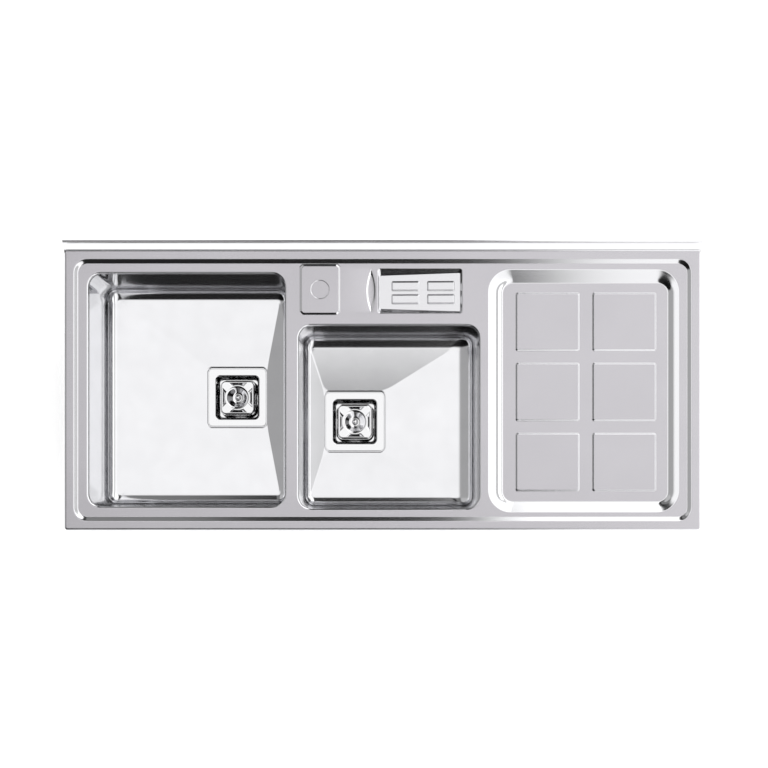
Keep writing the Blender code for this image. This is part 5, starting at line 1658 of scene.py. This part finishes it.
# %% Studio light
STUDIO_STRENGTH = 1.36
BEHIND = (("Y", 0.24, 0.36), ("X", 0.10, 0.05), ("X", -0.42, -0.32))
ZONES = (
    ("dark gap in front", 0.015, (("Y", -0.05, -0.16), ("Y", -0.95, -0.92), ("X", 0.17, 0.07))),
    ("bright edge low in front", 1.15, (("Y", -0.92, -0.95),)),
    ("bright wall behind", 1.30, (("Y", 0.24, 0.42),)),
    ("dark room behind", 0.16, BEHIND),
    ("darkest part of that room", 0.10, (*BEHIND, ("X", -0.14, -0.09))),
    ("grey on the left", 0.38, (("X", -0.22, -0.40),)),
    ("dark low on the left", 0.15, (("X", -0.90, -0.96),)),
    ("bright on the right", 1.35, (("X", 0.28, 0.40),)),
    ("grey beam on the right", 0.40, (("X", 0.44, 0.52), ("X", 0.74, 0.66))),
)


def zone(tree, parts, factor, borders):
    """1 outside a zone and the factor inside it."""
    inside = 1.0
    for axis, start, end in borders:
        inputs = {"Value": parts[axis], "From Min": start, "From Max": end}
        edge = add_node(tree, "ShaderNodeMapRange", {"interpolation_type": "SMOOTHSTEP"}, inputs)
        inputs = {0: inside, 1: edge.outputs["Result"]}
        inside = add_node(tree, "ShaderNodeMath", {"operation": "MULTIPLY"}, inputs).outputs[0]
    inputs = {"Value": inside, "To Min": 1.0, "To Max": factor}
    return add_node(tree, "ShaderNodeMapRange", inputs=inputs).outputs["Result"]


def make_studio():
    world = bpy.data.worlds.new("studio")
    bpy.context.scene.world = world
    world.use_nodes = True
    tree = world.node_tree
    tree.nodes.clear()
    direction = add_node(tree, "ShaderNodeTexCoord").outputs["Generated"]
    parts = add_node(tree, "ShaderNodeSeparateXYZ", inputs={0: direction}).outputs
    strength = STUDIO_STRENGTH
    for name, factor, borders in ZONES:
        inputs = {0: strength, 1: zone(tree, parts, factor, borders)}
        strength = add_node(tree, "ShaderNodeMath", {"operation": "MULTIPLY"}, inputs).outputs[0]
    lights = []
    for power in (strength, 1.0):
        light = add_node(tree, "ShaderNodeBackground", inputs={"Color": linear("#FFFFFF"), "Strength": power})
        lights.append(light.outputs[0])
    ray = add_node(tree, "ShaderNodeLightPath").outputs["Is Camera Ray"]
    mix = add_node(tree, "ShaderNodeMixShader", inputs={0: ray, 1: lights[0], 2: lights[1]})
    add_node(tree, "ShaderNodeOutputWorld", inputs={"Surface": mix.outputs[0]})
    print("world nodes", len(tree.nodes), "zones", [name for name, _, _ in ZONES])


make_studio()

# %% [markdown]
# ## Camera
# A flat object that is shot from straight above keeps its edges parallel. The camera stands over the
# front of the sink and its lens is shifted just enough to bring the deck into the middle, as a view
# camera does it.

# %% Camera
CAMERA_HEIGHT = 2.491
CAMERA_FROM_MIDDLE = (0.0009, -0.2132)
CAMERA_LENS = 62.9
CAMERA_SHIFT = (0.0013, 0.1576)


def make_camera():
    data = bpy.data.cameras.new("studio_camera")
    data.lens = CAMERA_LENS
    data.sensor_width = 36.0
    data.shift_x, data.shift_y = CAMERA_SHIFT
    camera = bpy.data.objects.new("studio_camera", data)
    middle_y = (FRONT_Y + DECK_BACK_Y) / 2
    camera.location = (CAMERA_FROM_MIDDLE[0], middle_y + CAMERA_FROM_MIDDLE[1], DECK_Z + CAMERA_HEIGHT)
    bpy.context.scene.collection.objects.link(camera)
    bpy.context.scene.camera = camera
    print("camera at", [round(part, 3) for part in camera.location])


make_camera()
bpy.context.scene.view_settings.view_transform = "Standard"

# %% Sizes and finish
bpy.context.view_layer.update()
made_low, made_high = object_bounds()
sizes = {"cad": [list(cad_low), list(cad_high)], "made": [list(made_low), list(made_high)]}
print("made size in mm", [round(1000 * (high - low), 1) for low, high in zip(made_low, made_high)])
